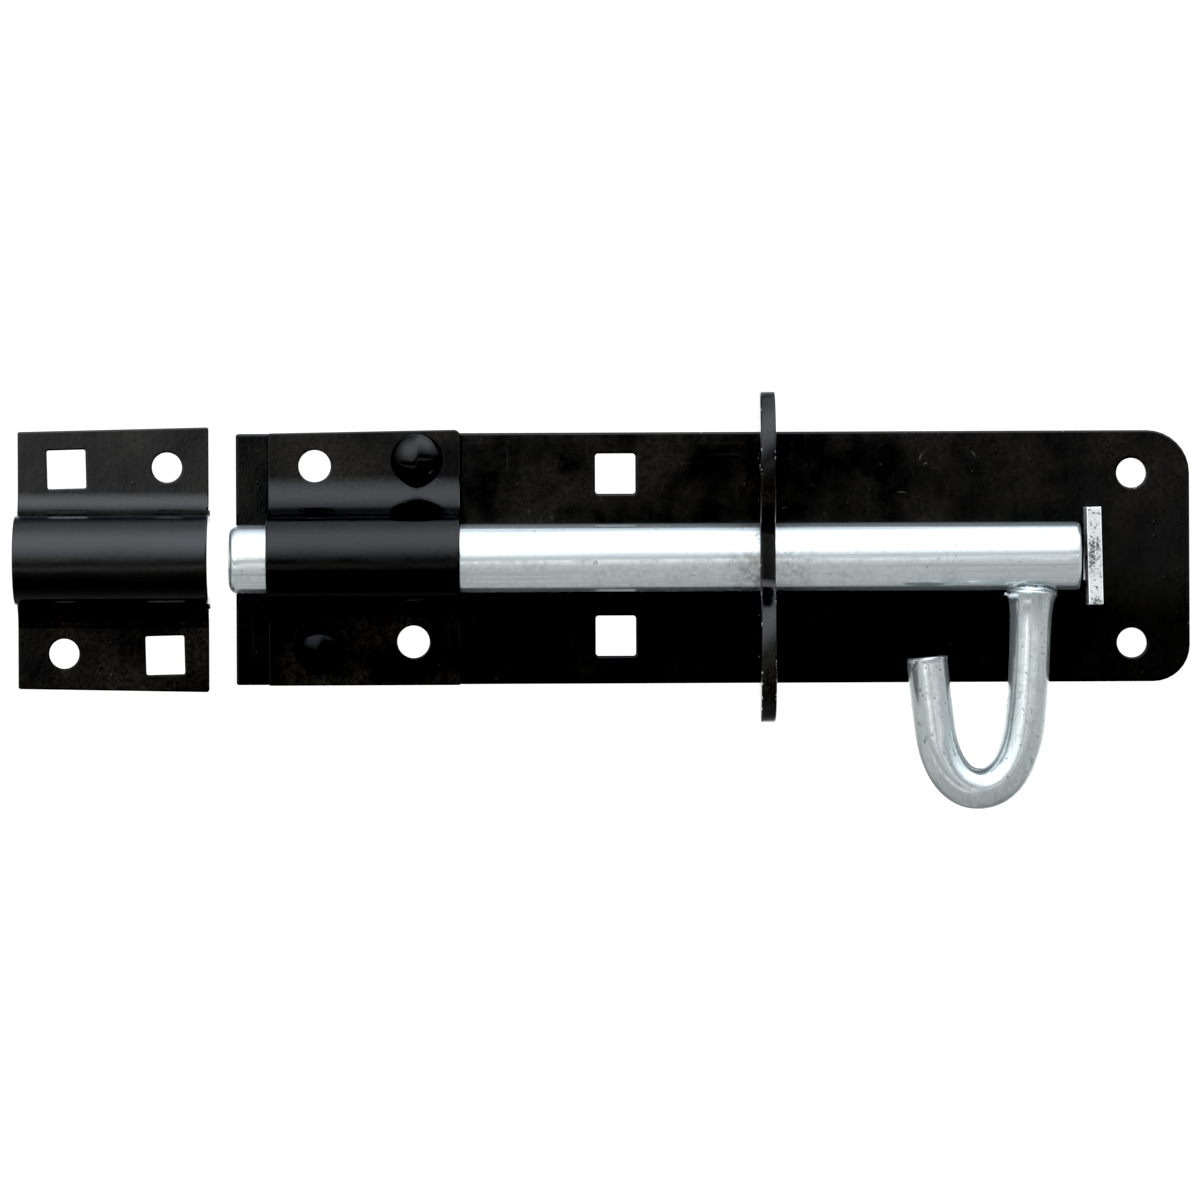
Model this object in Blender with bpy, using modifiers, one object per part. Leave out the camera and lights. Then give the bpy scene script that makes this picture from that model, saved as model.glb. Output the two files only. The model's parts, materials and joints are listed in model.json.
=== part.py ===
"""Padlockable round-bar bolt for a door or gate, as an assembly of its separate pieces.

Metres, +Z up. X runs along the bolt, the front of the object faces -Y, and the origin is the
centre of the backplate's back face. The bolt shoots towards -X, into the keeper.
A depth is a distance in front of the door's face, which is the plane Y = 0.
"""

import math

import bmesh
import bpy
from mathutils import Matrix, Vector

FIT_GAP = 0.0003

PLATE_LENGTH = 0.200
PLATE_HEIGHT = 0.0527
PLATE_THICKNESS = 0.0030
PLATE_CORNER_TOP = 0.0090
PLATE_CORNER_BOTTOM = 0.0077

BOLT_RADIUS = 0.00715
BOLT_LENGTH = 0.1778
BOLT_TIP_X = -0.1012
BOLT_TIP_EDGE = 0.0019
BOLT_REAR_EDGE = 0.0011
BOLT_DEPTH = PLATE_THICKNESS + BOLT_RADIUS + 0.0005

SHEET = 0.0016
GUIDE_LEFT = -0.0932
GUIDE_RIGHT = -0.0528
GUIDE_TUNNEL = BOLT_RADIUS + 0.00035
# The inner radius of the bend to the upper flange and to the lower flange.
GUIDE_FILLETS = (0.0085, 0.0040)
GUIDE_TOP = (0.0264, 0.0270)
GUIDE_BOTTOM = (0.0265, 0.0265)

KEEPER_LEFT = -0.14585
KEEPER_RIGHT = -0.10535
KEEPER_TUNNEL = BOLT_RADIUS + 0.0005
KEEPER_FILLETS = (0.0051, 0.0051)
KEEPER_TOP = (0.0270, 0.0278)
KEEPER_BOTTOM = (0.0270, 0.0278)

SQUARE_HOLE = 0.0084
SQUARE_HOLE_CORNER = 0.0005
PLATE_SQUARE_HOLES = ((-0.0204, 0.0177), (-0.0204, -0.0163))
PLATE_SCREW_HOLE_RADIUS = 0.0031
PLATE_SCREW_HOLES = ((0.0878, 0.0174), (0.0878, -0.0182))
GUIDE_SCREW_HOLE_RADIUS = 0.0034
GUIDE_SCREW_HOLES = ((-0.0834, 0.0195), (-0.0628, -0.0174))
KEEPER_SQUARE_HOLE = 0.0081
KEEPER_SQUARE_HOLES = ((-0.1356, 0.0191), (-0.1150, -0.0200))
KEEPER_SCREW_HOLE_RADIUS = 0.00315
KEEPER_SCREW_HOLES = ((-0.1145, 0.0194), (-0.1362, -0.0196))

RIVET_PLACES = {"rivet_upper": (-0.0620, 0.0208), "rivet_lower": (-0.0824, -0.0186)}
RIVET_HEAD_RADIUS = 0.0054
RIVET_HEAD_HEIGHT = 0.0042
RIVET_SHANK_RADIUS = 0.00275

STAPLE_X = 0.0112
STAPLE_THICKNESS = 0.0032
STAPLE_ARCH = BOLT_RADIUS + 0.00035
STAPLE_VALLEY_DEPTH = PLATE_THICKNESS + 0.0185
STAPLE_VALLEY_FILLET = 0.0035
EAR_HEIGHT = 0.0200
EAR_RADIUS = 0.0144
EAR_DEPTH = PLATE_THICKNESS + 0.0136
EYE_RADIUS = 0.0050
EYE_DEPTH = PLATE_THICKNESS + 0.0180
STAPLE_TENON_HEIGHT = 0.0165
STAPLE_TENON_LENGTH = 0.0090

STOP_X = 0.0794
STOP_THICKNESS = 0.0030
STOP_HALF_WIDTH = 0.0102
STOP_DEPTH = PLATE_THICKNESS + 0.0125
STOP_TENON_LENGTH = 0.0100
STOP_TWIST = math.radians(-1.2)

# The handle's rod: for each point X and Z, the way it runs in degrees from +X, and the
# lengths of the curve's arms before and after it.
HANDLE_RADIUS = 0.0043
HANDLE_ROOT_X = 0.0666
HANDLE_POINTS = (
    ((HANDLE_ROOT_X, -0.0050), -93.8, 0.0, 0.0100),
    ((0.0646, -0.0366), -99.0, 0.0090, 0.0066),
    ((0.0553, -0.04855), 180.0, 0.0052, 0.0052),
    ((0.0462, -0.0366), 98.0, 0.0064, 0.0050),
    ((0.0445, -0.0210), 95.0, 0.0050, 0.0),
)

ROUND_STEPS = 48
ARCH_STEPS = 24
CORNER_STEPS = 8
BEND_STEPS = 10
EDGE_STEPS = 4
WELD_DISTANCE = 0.00001

BLACK_PAINT = {"colour": (0.012, 0.011, 0.011), "roughness": 0.28, "metallic": 0.0}
BRIGHT_ZINC = {"colour": (0.78, 0.80, 0.82), "roughness": 0.30, "metallic": 1.0}
GREY_ZINC = {"colour": (0.55, 0.57, 0.59), "roughness": 0.38, "metallic": 1.0}


def clear_scene():
    """Start from an empty scene."""
    for item in list(bpy.data.objects):
        bpy.data.objects.remove(item, do_unlink=True)


def new_collection(name):
    """A collection linked to the scene."""
    collection = bpy.data.collections.new(name)
    bpy.context.scene.collection.children.link(collection)
    return collection


def new_finish(name, colour, roughness, metallic):
    """A Principled material of one colour."""
    material = bpy.data.materials.new(name)
    material.use_nodes = True
    shader = material.node_tree.nodes["Principled BSDF"]
    shader.inputs["Base Color"].default_value = (*colour, 1.0)
    shader.inputs["Roughness"].default_value = roughness
    shader.inputs["Metallic"].default_value = metallic
    return material


def finish_part(part, look, parent=None):
    """Give a part its material and its parent, and leave it where it is."""
    part.data.materials.clear()
    part.data.materials.append(new_finish(part.name + "_finish", **look))
    if parent is not None:
        bpy.context.view_layer.update()
        part.parent = parent
        part.matrix_parent_inverse = parent.matrix_world.inverted()
    return part


def arc(centre, radius, start, end, steps):
    """Points from the start angle to the end angle, in degrees, both ends included."""
    points = []
    for step in range(steps + 1):
        angle = math.radians(start + (end - start) * step / steps)
        points.append((centre[0] + radius * math.cos(angle), centre[1] + radius * math.sin(angle)))
    return points


def circle(centre, radius):
    """A closed loop of points."""
    return arc(centre, radius, 0, 360, ROUND_STEPS)[:-1]


def rounded_rectangle(centre, width, height, corners):
    """A closed loop with a radius for each corner: top right, top left, bottom left, bottom right."""
    signs = ((1, 1), (-1, 1), (-1, -1), (1, -1))
    loop = []
    for index, (radius, (side, rise)) in enumerate(zip(corners, signs)):
        corner = (centre[0] + side * (width / 2 - radius), centre[1] + rise * (height / 2 - radius))
        if radius == 0:
            loop.append(corner)
        else:
            loop += arc(corner, radius, 90 * index, 90 * index + 90, CORNER_STEPS)
    return loop


def mesh_from_curve(guide, name):
    """Turn a curve object into a welded mesh object in the same place."""
    bpy.context.view_layer.update()
    evaluated = guide.evaluated_get(bpy.context.evaluated_depsgraph_get())
    mesh = bpy.data.meshes.new_from_object(evaluated)
    mesh.name = name
    shape = bmesh.new()
    shape.from_mesh(mesh)
    bmesh.ops.remove_doubles(shape, verts=shape.verts, dist=WELD_DISTANCE)
    bmesh.ops.recalc_face_normals(shape, faces=shape.faces)
    shape.to_mesh(mesh)
    shape.free()
    part = bpy.data.objects.new(name, mesh)
    part.matrix_world = guide.matrix_world
    bpy.data.objects.remove(guide, do_unlink=True)
    parts.objects.link(part)
    return part


def flat_plate(name, loops, thickness, placement):
    """A plate whose first loop is its edge and whose other loops are holes through it."""
    outline = bpy.data.curves.new(name, "CURVE")
    outline.dimensions = "2D"
    outline.fill_mode = "BOTH"
    outline.extrude = thickness / 2
    for loop in loops:
        spline = outline.splines.new("POLY")
        spline.points.add(len(loop) - 1)
        spline.use_cyclic_u = True
        for point, (across, up) in zip(spline.points, loop):
            point.co = (across, up, 0.0, 1.0)
    guide = bpy.data.objects.new(name + "_outline", outline)
    guide.matrix_world = placement
    parts.objects.link(guide)
    return mesh_from_curve(guide, name)


def facing_front(depth):
    """Placement of an outline drawn in X and Z, at a depth in front of the door."""
    return Matrix.Translation((0, -depth, 0)) @ Matrix.Rotation(math.radians(90), 4, "X")


def standing(x, twist=0.0):
    """Placement of an outline drawn in Z and depth, square to the bolt at x."""
    upright = Matrix(((0, 0, 1), (0, -1, 0), (1, 0, 0))).to_4x4()
    return Matrix.Translation((x, 0, 0)) @ Matrix.Rotation(twist, 4, "Y") @ upright


def turned(name, profile, mesh=None):
    """A round piece: a profile of radius and height, from top to bottom, turned about Z."""
    if mesh is None:
        mesh = bpy.data.meshes.new(name)
        vertices = [(radius, 0.0, height) for radius, height in profile]
        edges = [(index, index + 1) for index in range(len(vertices) - 1)]
        mesh.from_pydata(vertices, edges, [])
    part = bpy.data.objects.new(name, mesh)
    parts.objects.link(part)
    screw = part.modifiers.new("turn", "SCREW")
    screw.axis = "Z"
    screw.steps = ROUND_STEPS
    screw.render_steps = ROUND_STEPS
    screw.use_merge_vertices = True
    screw.merge_threshold = WELD_DISTANCE
    screw.use_smooth_shade = True
    return part


def cut(part, cutter):
    """Cut a hidden cutter out of a part."""
    boolean = part.modifiers.new(cutter.name, "BOOLEAN")
    boolean.operation = "DIFFERENCE"
    boolean.object = cutter
    cutter.hide_render = True
    cutter.display_type = "WIRE"


def new_cutter(name, shape, placement):
    """A cutter object made from a bmesh."""
    mesh = bpy.data.meshes.new(name)
    shape.to_mesh(mesh)
    shape.free()
    cutter = bpy.data.objects.new(name, mesh)
    cutter.matrix_world = placement
    cutters.objects.link(cutter)
    return cutter


def round_punch(name, place, radius):
    """A cutter for a round hole through a sheet that faces the front."""
    shape = bmesh.new()
    bmesh.ops.create_cone(shape, cap_ends=True, segments=ROUND_STEPS, radius1=radius,
                          radius2=radius, depth=4 * BOLT_DEPTH)
    placement = Matrix.Translation((place[0], 0, place[1])) @ Matrix.Rotation(math.radians(90), 4, "X")
    return new_cutter(name, shape, placement)


def square_punch(name, place, side):
    """A cutter for a square hole through a sheet that faces the front."""
    shape = bmesh.new()
    bmesh.ops.create_cube(shape, size=1.0, matrix=Matrix.Diagonal((side, 4 * BOLT_DEPTH, side, 1)))
    return new_cutter(name, shape, Matrix.Translation((place[0], 0, place[1])))


def make_backplate():
    """The flat plate that carries everything but the keeper."""
    corners = (PLATE_CORNER_TOP, 0, 0, PLATE_CORNER_BOTTOM)
    loops = [rounded_rectangle((0, 0), PLATE_LENGTH, PLATE_HEIGHT, corners)]
    for place in PLATE_SQUARE_HOLES:
        loops.append(rounded_rectangle(place, SQUARE_HOLE, SQUARE_HOLE, (SQUARE_HOLE_CORNER,) * 4))
    for place in PLATE_SCREW_HOLES:
        loops.append(circle(place, PLATE_SCREW_HOLE_RADIUS))
    for place in GUIDE_SCREW_HOLES:
        loops.append(circle(place, GUIDE_SCREW_HOLE_RADIUS))
    for place in RIVET_PLACES.values():
        loops.append(circle(place, RIVET_SHANK_RADIUS + FIT_GAP))
    slots = [((STAPLE_X, side * STAPLE_TENON_HEIGHT), STAPLE_THICKNESS, STAPLE_TENON_LENGTH)
             for side in (1, -1)]
    slots.append(((STOP_X, 0), STOP_THICKNESS, STOP_TENON_LENGTH))
    for place, width, length in slots:
        loops.append(rounded_rectangle(place, width + 2 * FIT_GAP, length + 2 * FIT_GAP, (0,) * 4))
    return flat_plate("backplate", loops, PLATE_THICKNESS, facing_front(PLATE_THICKNESS / 2))


def bend_to_flange(base, tunnel, fillet):
    """Where a bend's centre lies to the side, and how far round the tunnel it meets it, in degrees.

    A bend that is deeper than the bolt's axis meets the tunnel on a slant. A smaller one meets it
    square, through a straight wall.
    """
    overshoot = max(base + fillet - BOLT_DEPTH, 0)
    side = math.sqrt((tunnel + fillet) ** 2 - overshoot ** 2)
    return side, math.degrees(math.atan2(overshoot, side))


def strap_profile(top, bottom, base, tunnel, fillets):
    """Height and depth along the back of a saddle's sheet, from its top edge to its bottom edge."""
    upper, lower = fillets
    upper_side, upper_meeting = bend_to_flange(base, tunnel, upper)
    lower_side, lower_meeting = bend_to_flange(base, tunnel, lower)
    profile = [(top, base)]
    profile += arc((upper_side, base + upper), upper, 270, 180 + upper_meeting, BEND_STEPS)
    profile += arc((0, BOLT_DEPTH), tunnel, upper_meeting, 180 - lower_meeting, ARCH_STEPS)
    profile += arc((-lower_side, base + lower), lower, -lower_meeting, -90, BEND_STEPS)
    profile.append((-bottom, base))
    return profile


def pressed_saddle(name, ends, profiles):
    """A saddle pressed from sheet: a profile at each end, joined and thickened towards the front."""
    sheet = bmesh.new()
    edges = []
    for x, profile in zip(ends, profiles):
        row = [sheet.verts.new((x, -depth, height)) for height, depth in profile]
        edges += [sheet.edges.new(pair) for pair in zip(row, row[1:])]
    bmesh.ops.bridge_loops(sheet, edges=edges)
    for face in sheet.faces:
        face.smooth = True
        face.normal_update()
    crown = max(sheet.faces, key=lambda face: -face.calc_center_median().y)
    if crown.normal.y > 0:
        bmesh.ops.reverse_faces(sheet, faces=sheet.faces)
    mesh = bpy.data.meshes.new(name)
    sheet.to_mesh(mesh)
    sheet.free()
    part = bpy.data.objects.new(name, mesh)
    parts.objects.link(part)
    solidify = part.modifiers.new("sheet", "SOLIDIFY")
    solidify.thickness = SHEET
    solidify.offset = 1.0
    solidify.use_even_offset = True
    return part


def make_front_guide():
    """The saddle that holds the bolt's front end to the backplate."""
    base = PLATE_THICKNESS + FIT_GAP
    fillets = [fillet + SHEET for fillet in GUIDE_FILLETS]
    profiles = [strap_profile(top, bottom, base, GUIDE_TUNNEL, fillets)
                for top, bottom in zip(GUIDE_TOP, GUIDE_BOTTOM)]
    guide = pressed_saddle("front_guide", (GUIDE_LEFT, GUIDE_RIGHT), profiles)
    for index, place in enumerate(GUIDE_SCREW_HOLES):
        cut(guide, round_punch(f"guide_screw_hole_{index}", place, GUIDE_SCREW_HOLE_RADIUS))
    for name, place in RIVET_PLACES.items():
        cut(guide, round_punch(f"guide_{name}_hole", place, RIVET_SHANK_RADIUS + FIT_GAP))
    return guide


def make_keeper():
    """The separate saddle on the door frame, which catches the bolt."""
    fillets = [fillet + SHEET for fillet in KEEPER_FILLETS]
    profiles = [strap_profile(top, bottom, 0.0, KEEPER_TUNNEL, fillets)
                for top, bottom in zip(KEEPER_TOP, KEEPER_BOTTOM)]
    keeper = pressed_saddle("keeper", (KEEPER_LEFT, KEEPER_RIGHT), profiles)
    for index, place in enumerate(KEEPER_SQUARE_HOLES):
        cut(keeper, square_punch(f"keeper_square_hole_{index}", place, KEEPER_SQUARE_HOLE))
    for index, place in enumerate(KEEPER_SCREW_HOLES):
        cut(keeper, round_punch(f"keeper_screw_hole_{index}", place, KEEPER_SCREW_HOLE_RADIUS))
    return keeper


def make_rivets():
    """The two domed rivets through the front guide and the backplate."""
    seat = PLATE_THICKNESS + SHEET + 2 * FIT_GAP
    dome_radius = (RIVET_HEAD_RADIUS ** 2 + RIVET_HEAD_HEIGHT ** 2) / (2 * RIVET_HEAD_HEIGHT)
    dome_centre = (0, seat + RIVET_HEAD_HEIGHT - dome_radius)
    rim = math.degrees(math.asin((seat - dome_centre[1]) / dome_radius))
    profile = arc(dome_centre, dome_radius, 90, rim, CORNER_STEPS)
    profile += [(RIVET_SHANK_RADIUS, seat), (RIVET_SHANK_RADIUS, FIT_GAP), (0, FIT_GAP)]
    rivets = []
    mesh = None
    for name, (x, height) in RIVET_PLACES.items():
        rivet = turned(name, profile, mesh)
        rivet.location = (x, 0, height)
        rivet.rotation_euler = (math.radians(90), 0, 0)
        mesh = rivet.data
        rivets.append(rivet)
    return rivets


def staple_half_outline():
    """Height and depth round the upper half of the staple, from the valley to the bolt's arch."""
    base = PLATE_THICKNESS + FIT_GAP
    reach = EAR_RADIUS + STAPLE_VALLEY_FILLET
    rise = STAPLE_VALLEY_DEPTH + STAPLE_VALLEY_FILLET - EAR_DEPTH
    valley = EAR_HEIGHT - math.sqrt(reach ** 2 - rise ** 2)
    meeting = math.degrees(math.acos((valley - EAR_HEIGHT) / reach))
    foot = -math.degrees(math.asin((EAR_DEPTH - base) / EAR_RADIUS))
    outline = arc((valley, STAPLE_VALLEY_DEPTH + STAPLE_VALLEY_FILLET), STAPLE_VALLEY_FILLET,
                  270, 180 + meeting, CORNER_STEPS)
    outline += arc((EAR_HEIGHT, EAR_DEPTH), EAR_RADIUS, meeting, foot, ROUND_STEPS)[1:]
    tenon_top = STAPLE_TENON_HEIGHT + STAPLE_TENON_LENGTH / 2
    tenon_bottom = STAPLE_TENON_HEIGHT - STAPLE_TENON_LENGTH / 2
    outline += [(tenon_top, base), (tenon_top, FIT_GAP), (tenon_bottom, FIT_GAP), (tenon_bottom, base)]
    outline.append((STAPLE_ARCH, base))
    outline += arc((0, BOLT_DEPTH), STAPLE_ARCH, 0, 90, ARCH_STEPS)
    return outline


def make_staple():
    """The standing plate that guides the bolt and takes the padlock."""
    upper = staple_half_outline()
    lower = [(-height, depth) for height, depth in reversed(upper[:-1])]
    loops = [upper + lower]
    loops += [circle((side * EAR_HEIGHT, EYE_DEPTH), EYE_RADIUS) for side in (1, -1)]
    return flat_plate("staple", loops, STAPLE_THICKNESS, standing(STAPLE_X))


def make_end_stop():
    """The tab behind the bolt's rear end, with a tenon through the backplate."""
    base = PLATE_THICKNESS + FIT_GAP
    tenon = STOP_TENON_LENGTH / 2
    outline = [(STOP_HALF_WIDTH, base), (STOP_HALF_WIDTH, STOP_DEPTH),
               (-STOP_HALF_WIDTH, STOP_DEPTH), (-STOP_HALF_WIDTH, base),
               (-tenon, base), (-tenon, FIT_GAP), (tenon, FIT_GAP), (tenon, base)]
    return flat_plate("end_stop", [outline], STOP_THICKNESS, standing(STOP_X, STOP_TWIST))


def make_bolt():
    """The round bar, turned about the axis that it slides along."""
    tip = -BOLT_TIP_X
    rear = tip - BOLT_LENGTH
    profile = [(0, tip)]
    profile += arc((BOLT_RADIUS - BOLT_TIP_EDGE, tip - BOLT_TIP_EDGE), BOLT_TIP_EDGE,
                   90, 0, EDGE_STEPS)
    profile += arc((BOLT_RADIUS - BOLT_REAR_EDGE, rear + BOLT_REAR_EDGE), BOLT_REAR_EDGE,
                   0, -90, EDGE_STEPS)
    profile.append((0, rear))
    bolt = turned("bolt", profile)
    bolt.location = (0, -BOLT_DEPTH, 0)
    bolt.rotation_euler = (0, math.radians(-90), 0)
    return bolt


def shape_rod(spline):
    """Set the rod's points in the plane of the bolt's axis, measured from the handle's root."""
    spline.bezier_points.add(len(HANDLE_POINTS) - 1)
    for point, (place, heading, before, after) in zip(spline.bezier_points, HANDLE_POINTS):
        centre = Vector((place[0] - HANDLE_ROOT_X, 0, place[1]))
        along = Vector((math.cos(math.radians(heading)), 0, math.sin(math.radians(heading))))
        point.handle_left_type = "FREE"
        point.handle_right_type = "FREE"
        point.co = centre
        point.handle_left = centre - along * before
        point.handle_right = centre + along * after


def make_handle():
    """The rod bent into a hook, its root shaped to sit on the bolt."""
    rod = bpy.data.curves.new("handle", "CURVE")
    rod.dimensions = "3D"
    rod.bevel_depth = HANDLE_RADIUS
    rod.bevel_resolution = 6
    rod.resolution_u = 8
    rod.use_fill_caps = True
    shape_rod(rod.splines.new("BEZIER"))
    guide = bpy.data.objects.new("handle_rod", rod)
    guide.matrix_world = Matrix.Translation((HANDLE_ROOT_X, -BOLT_DEPTH, 0))
    parts.objects.link(guide)
    handle = mesh_from_curve(guide, "handle")
    handle.data.shade_smooth()
    saddle = bmesh.new()
    bmesh.ops.create_cone(saddle, cap_ends=True, segments=ROUND_STEPS, depth=8 * HANDLE_RADIUS,
                          radius1=BOLT_RADIUS + FIT_GAP, radius2=BOLT_RADIUS + FIT_GAP)
    along_bolt = Matrix.Rotation(math.radians(90), 4, "Y")
    place = Matrix.Translation((HANDLE_ROOT_X, -BOLT_DEPTH, 0)) @ along_bolt
    cut(handle, new_cutter("handle_root_saddle", saddle, place))
    return handle


clear_scene()
parts = new_collection("padbolt")
cutters = new_collection("cutters")

door_face = bpy.data.objects.new("door_face", None)
parts.objects.link(door_face)

for fixed in (make_backplate(), make_front_guide(), *make_rivets(), make_staple(), make_keeper()):
    finish_part(fixed, BLACK_PAINT, door_face)
finish_part(make_end_stop(), GREY_ZINC, door_face)
sliding_bolt = finish_part(make_bolt(), BRIGHT_ZINC, door_face)
finish_part(make_handle(), GREY_ZINC, sliding_bolt)
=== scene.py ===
"""Looks of a padlockable round-bar bolt for a door or gate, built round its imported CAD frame.

Metres, +Z up. X runs along the bolt, the front faces -Y and the door's face is the plane Y = 0.
A depth is a distance in front of the door's face. Sheet pieces are drawn flat as outlines,
given rolled edges, and then stood or folded where they go.
"""

from __future__ import annotations

import json
import logging
import math
from dataclasses import dataclass
from enum import Enum

import bmesh
import bpy
from mathutils import Matrix, Vector, noise
from mathutils.geometry import interpolate_bezier, tessellate_polygon

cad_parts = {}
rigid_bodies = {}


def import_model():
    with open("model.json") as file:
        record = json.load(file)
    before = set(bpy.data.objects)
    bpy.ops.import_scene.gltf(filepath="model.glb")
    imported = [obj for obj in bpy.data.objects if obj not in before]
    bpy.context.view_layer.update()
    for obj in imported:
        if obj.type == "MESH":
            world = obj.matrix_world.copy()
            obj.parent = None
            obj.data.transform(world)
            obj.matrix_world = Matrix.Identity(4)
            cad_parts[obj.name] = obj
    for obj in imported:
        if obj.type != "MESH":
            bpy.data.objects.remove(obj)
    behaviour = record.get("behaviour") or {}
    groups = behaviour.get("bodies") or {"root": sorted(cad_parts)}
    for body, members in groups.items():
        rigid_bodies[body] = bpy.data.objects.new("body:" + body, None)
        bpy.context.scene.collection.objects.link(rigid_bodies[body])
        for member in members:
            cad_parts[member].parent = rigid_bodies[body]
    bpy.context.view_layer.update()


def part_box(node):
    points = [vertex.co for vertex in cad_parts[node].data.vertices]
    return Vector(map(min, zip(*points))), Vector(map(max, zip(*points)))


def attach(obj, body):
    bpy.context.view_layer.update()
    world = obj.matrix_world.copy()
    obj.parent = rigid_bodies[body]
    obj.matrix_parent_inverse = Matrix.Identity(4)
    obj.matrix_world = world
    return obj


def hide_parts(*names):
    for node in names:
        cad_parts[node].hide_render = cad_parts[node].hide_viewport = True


LOG = logging.getLogger("padbolt")
# How exposed a point on a rounded edge is: it places the paint's chips, which are wear, and the zinc's painted edge
# highlight.
EDGE_WEAR_AND_HIGHLIGHT = "edge_wear_and_highlight"
WELD_DISTANCE = 0.000002
# The way to each corner of a sheet: top right, top left, bottom left, bottom right.
QUARTERS = ((1, 1), (-1, 1), (-1, -1), (1, -1))

Point = tuple[float, float]
Triple = tuple[float, float, float]
Loop = list[Point]
Hole = tuple[Point, float]
Colour = tuple[float, float, float]
# A noise holds its clouds per metre, how many finer layers it has and how strong they are.
Noise = tuple[float, float, float]
# A band holds the value where an effect starts and the value where it is full.
Band = tuple[float, float]
Socket = bpy.types.NodeSocket
Material = bpy.types.Material
Piece = bpy.types.Object
Shape = bmesh.types.BMesh
Tree = bpy.types.GeometryNodeTree

AXIS_DEPTH = 0.01065
RIVET_PLACES = ((-0.0620, 0.0208), (-0.0824, -0.0186))
# X, Z and radius of the holes that the front guide shares with the backplate: two for screws, then the rivets'.
GUIDE_HOLES = (((-0.0834, 0.0195), 0.0034), ((-0.0628, -0.0174), 0.0034),
               *((place, 0.0030) for place in RIVET_PLACES))


class Body(Enum):
    """The moving bodies of the frame."""

    MOUNTING = "mounting"
    BOLT = "bolt"
    HANDLE = "handle"


class Slot(Enum):
    """The record's material slots."""

    BLACK_PAINT = "black_paint"
    BRIGHT_ZINC = "bright_zinc"
    GREY_ZINC = "grey_zinc"


# ---------------------------------------------------------------- node trees


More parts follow.
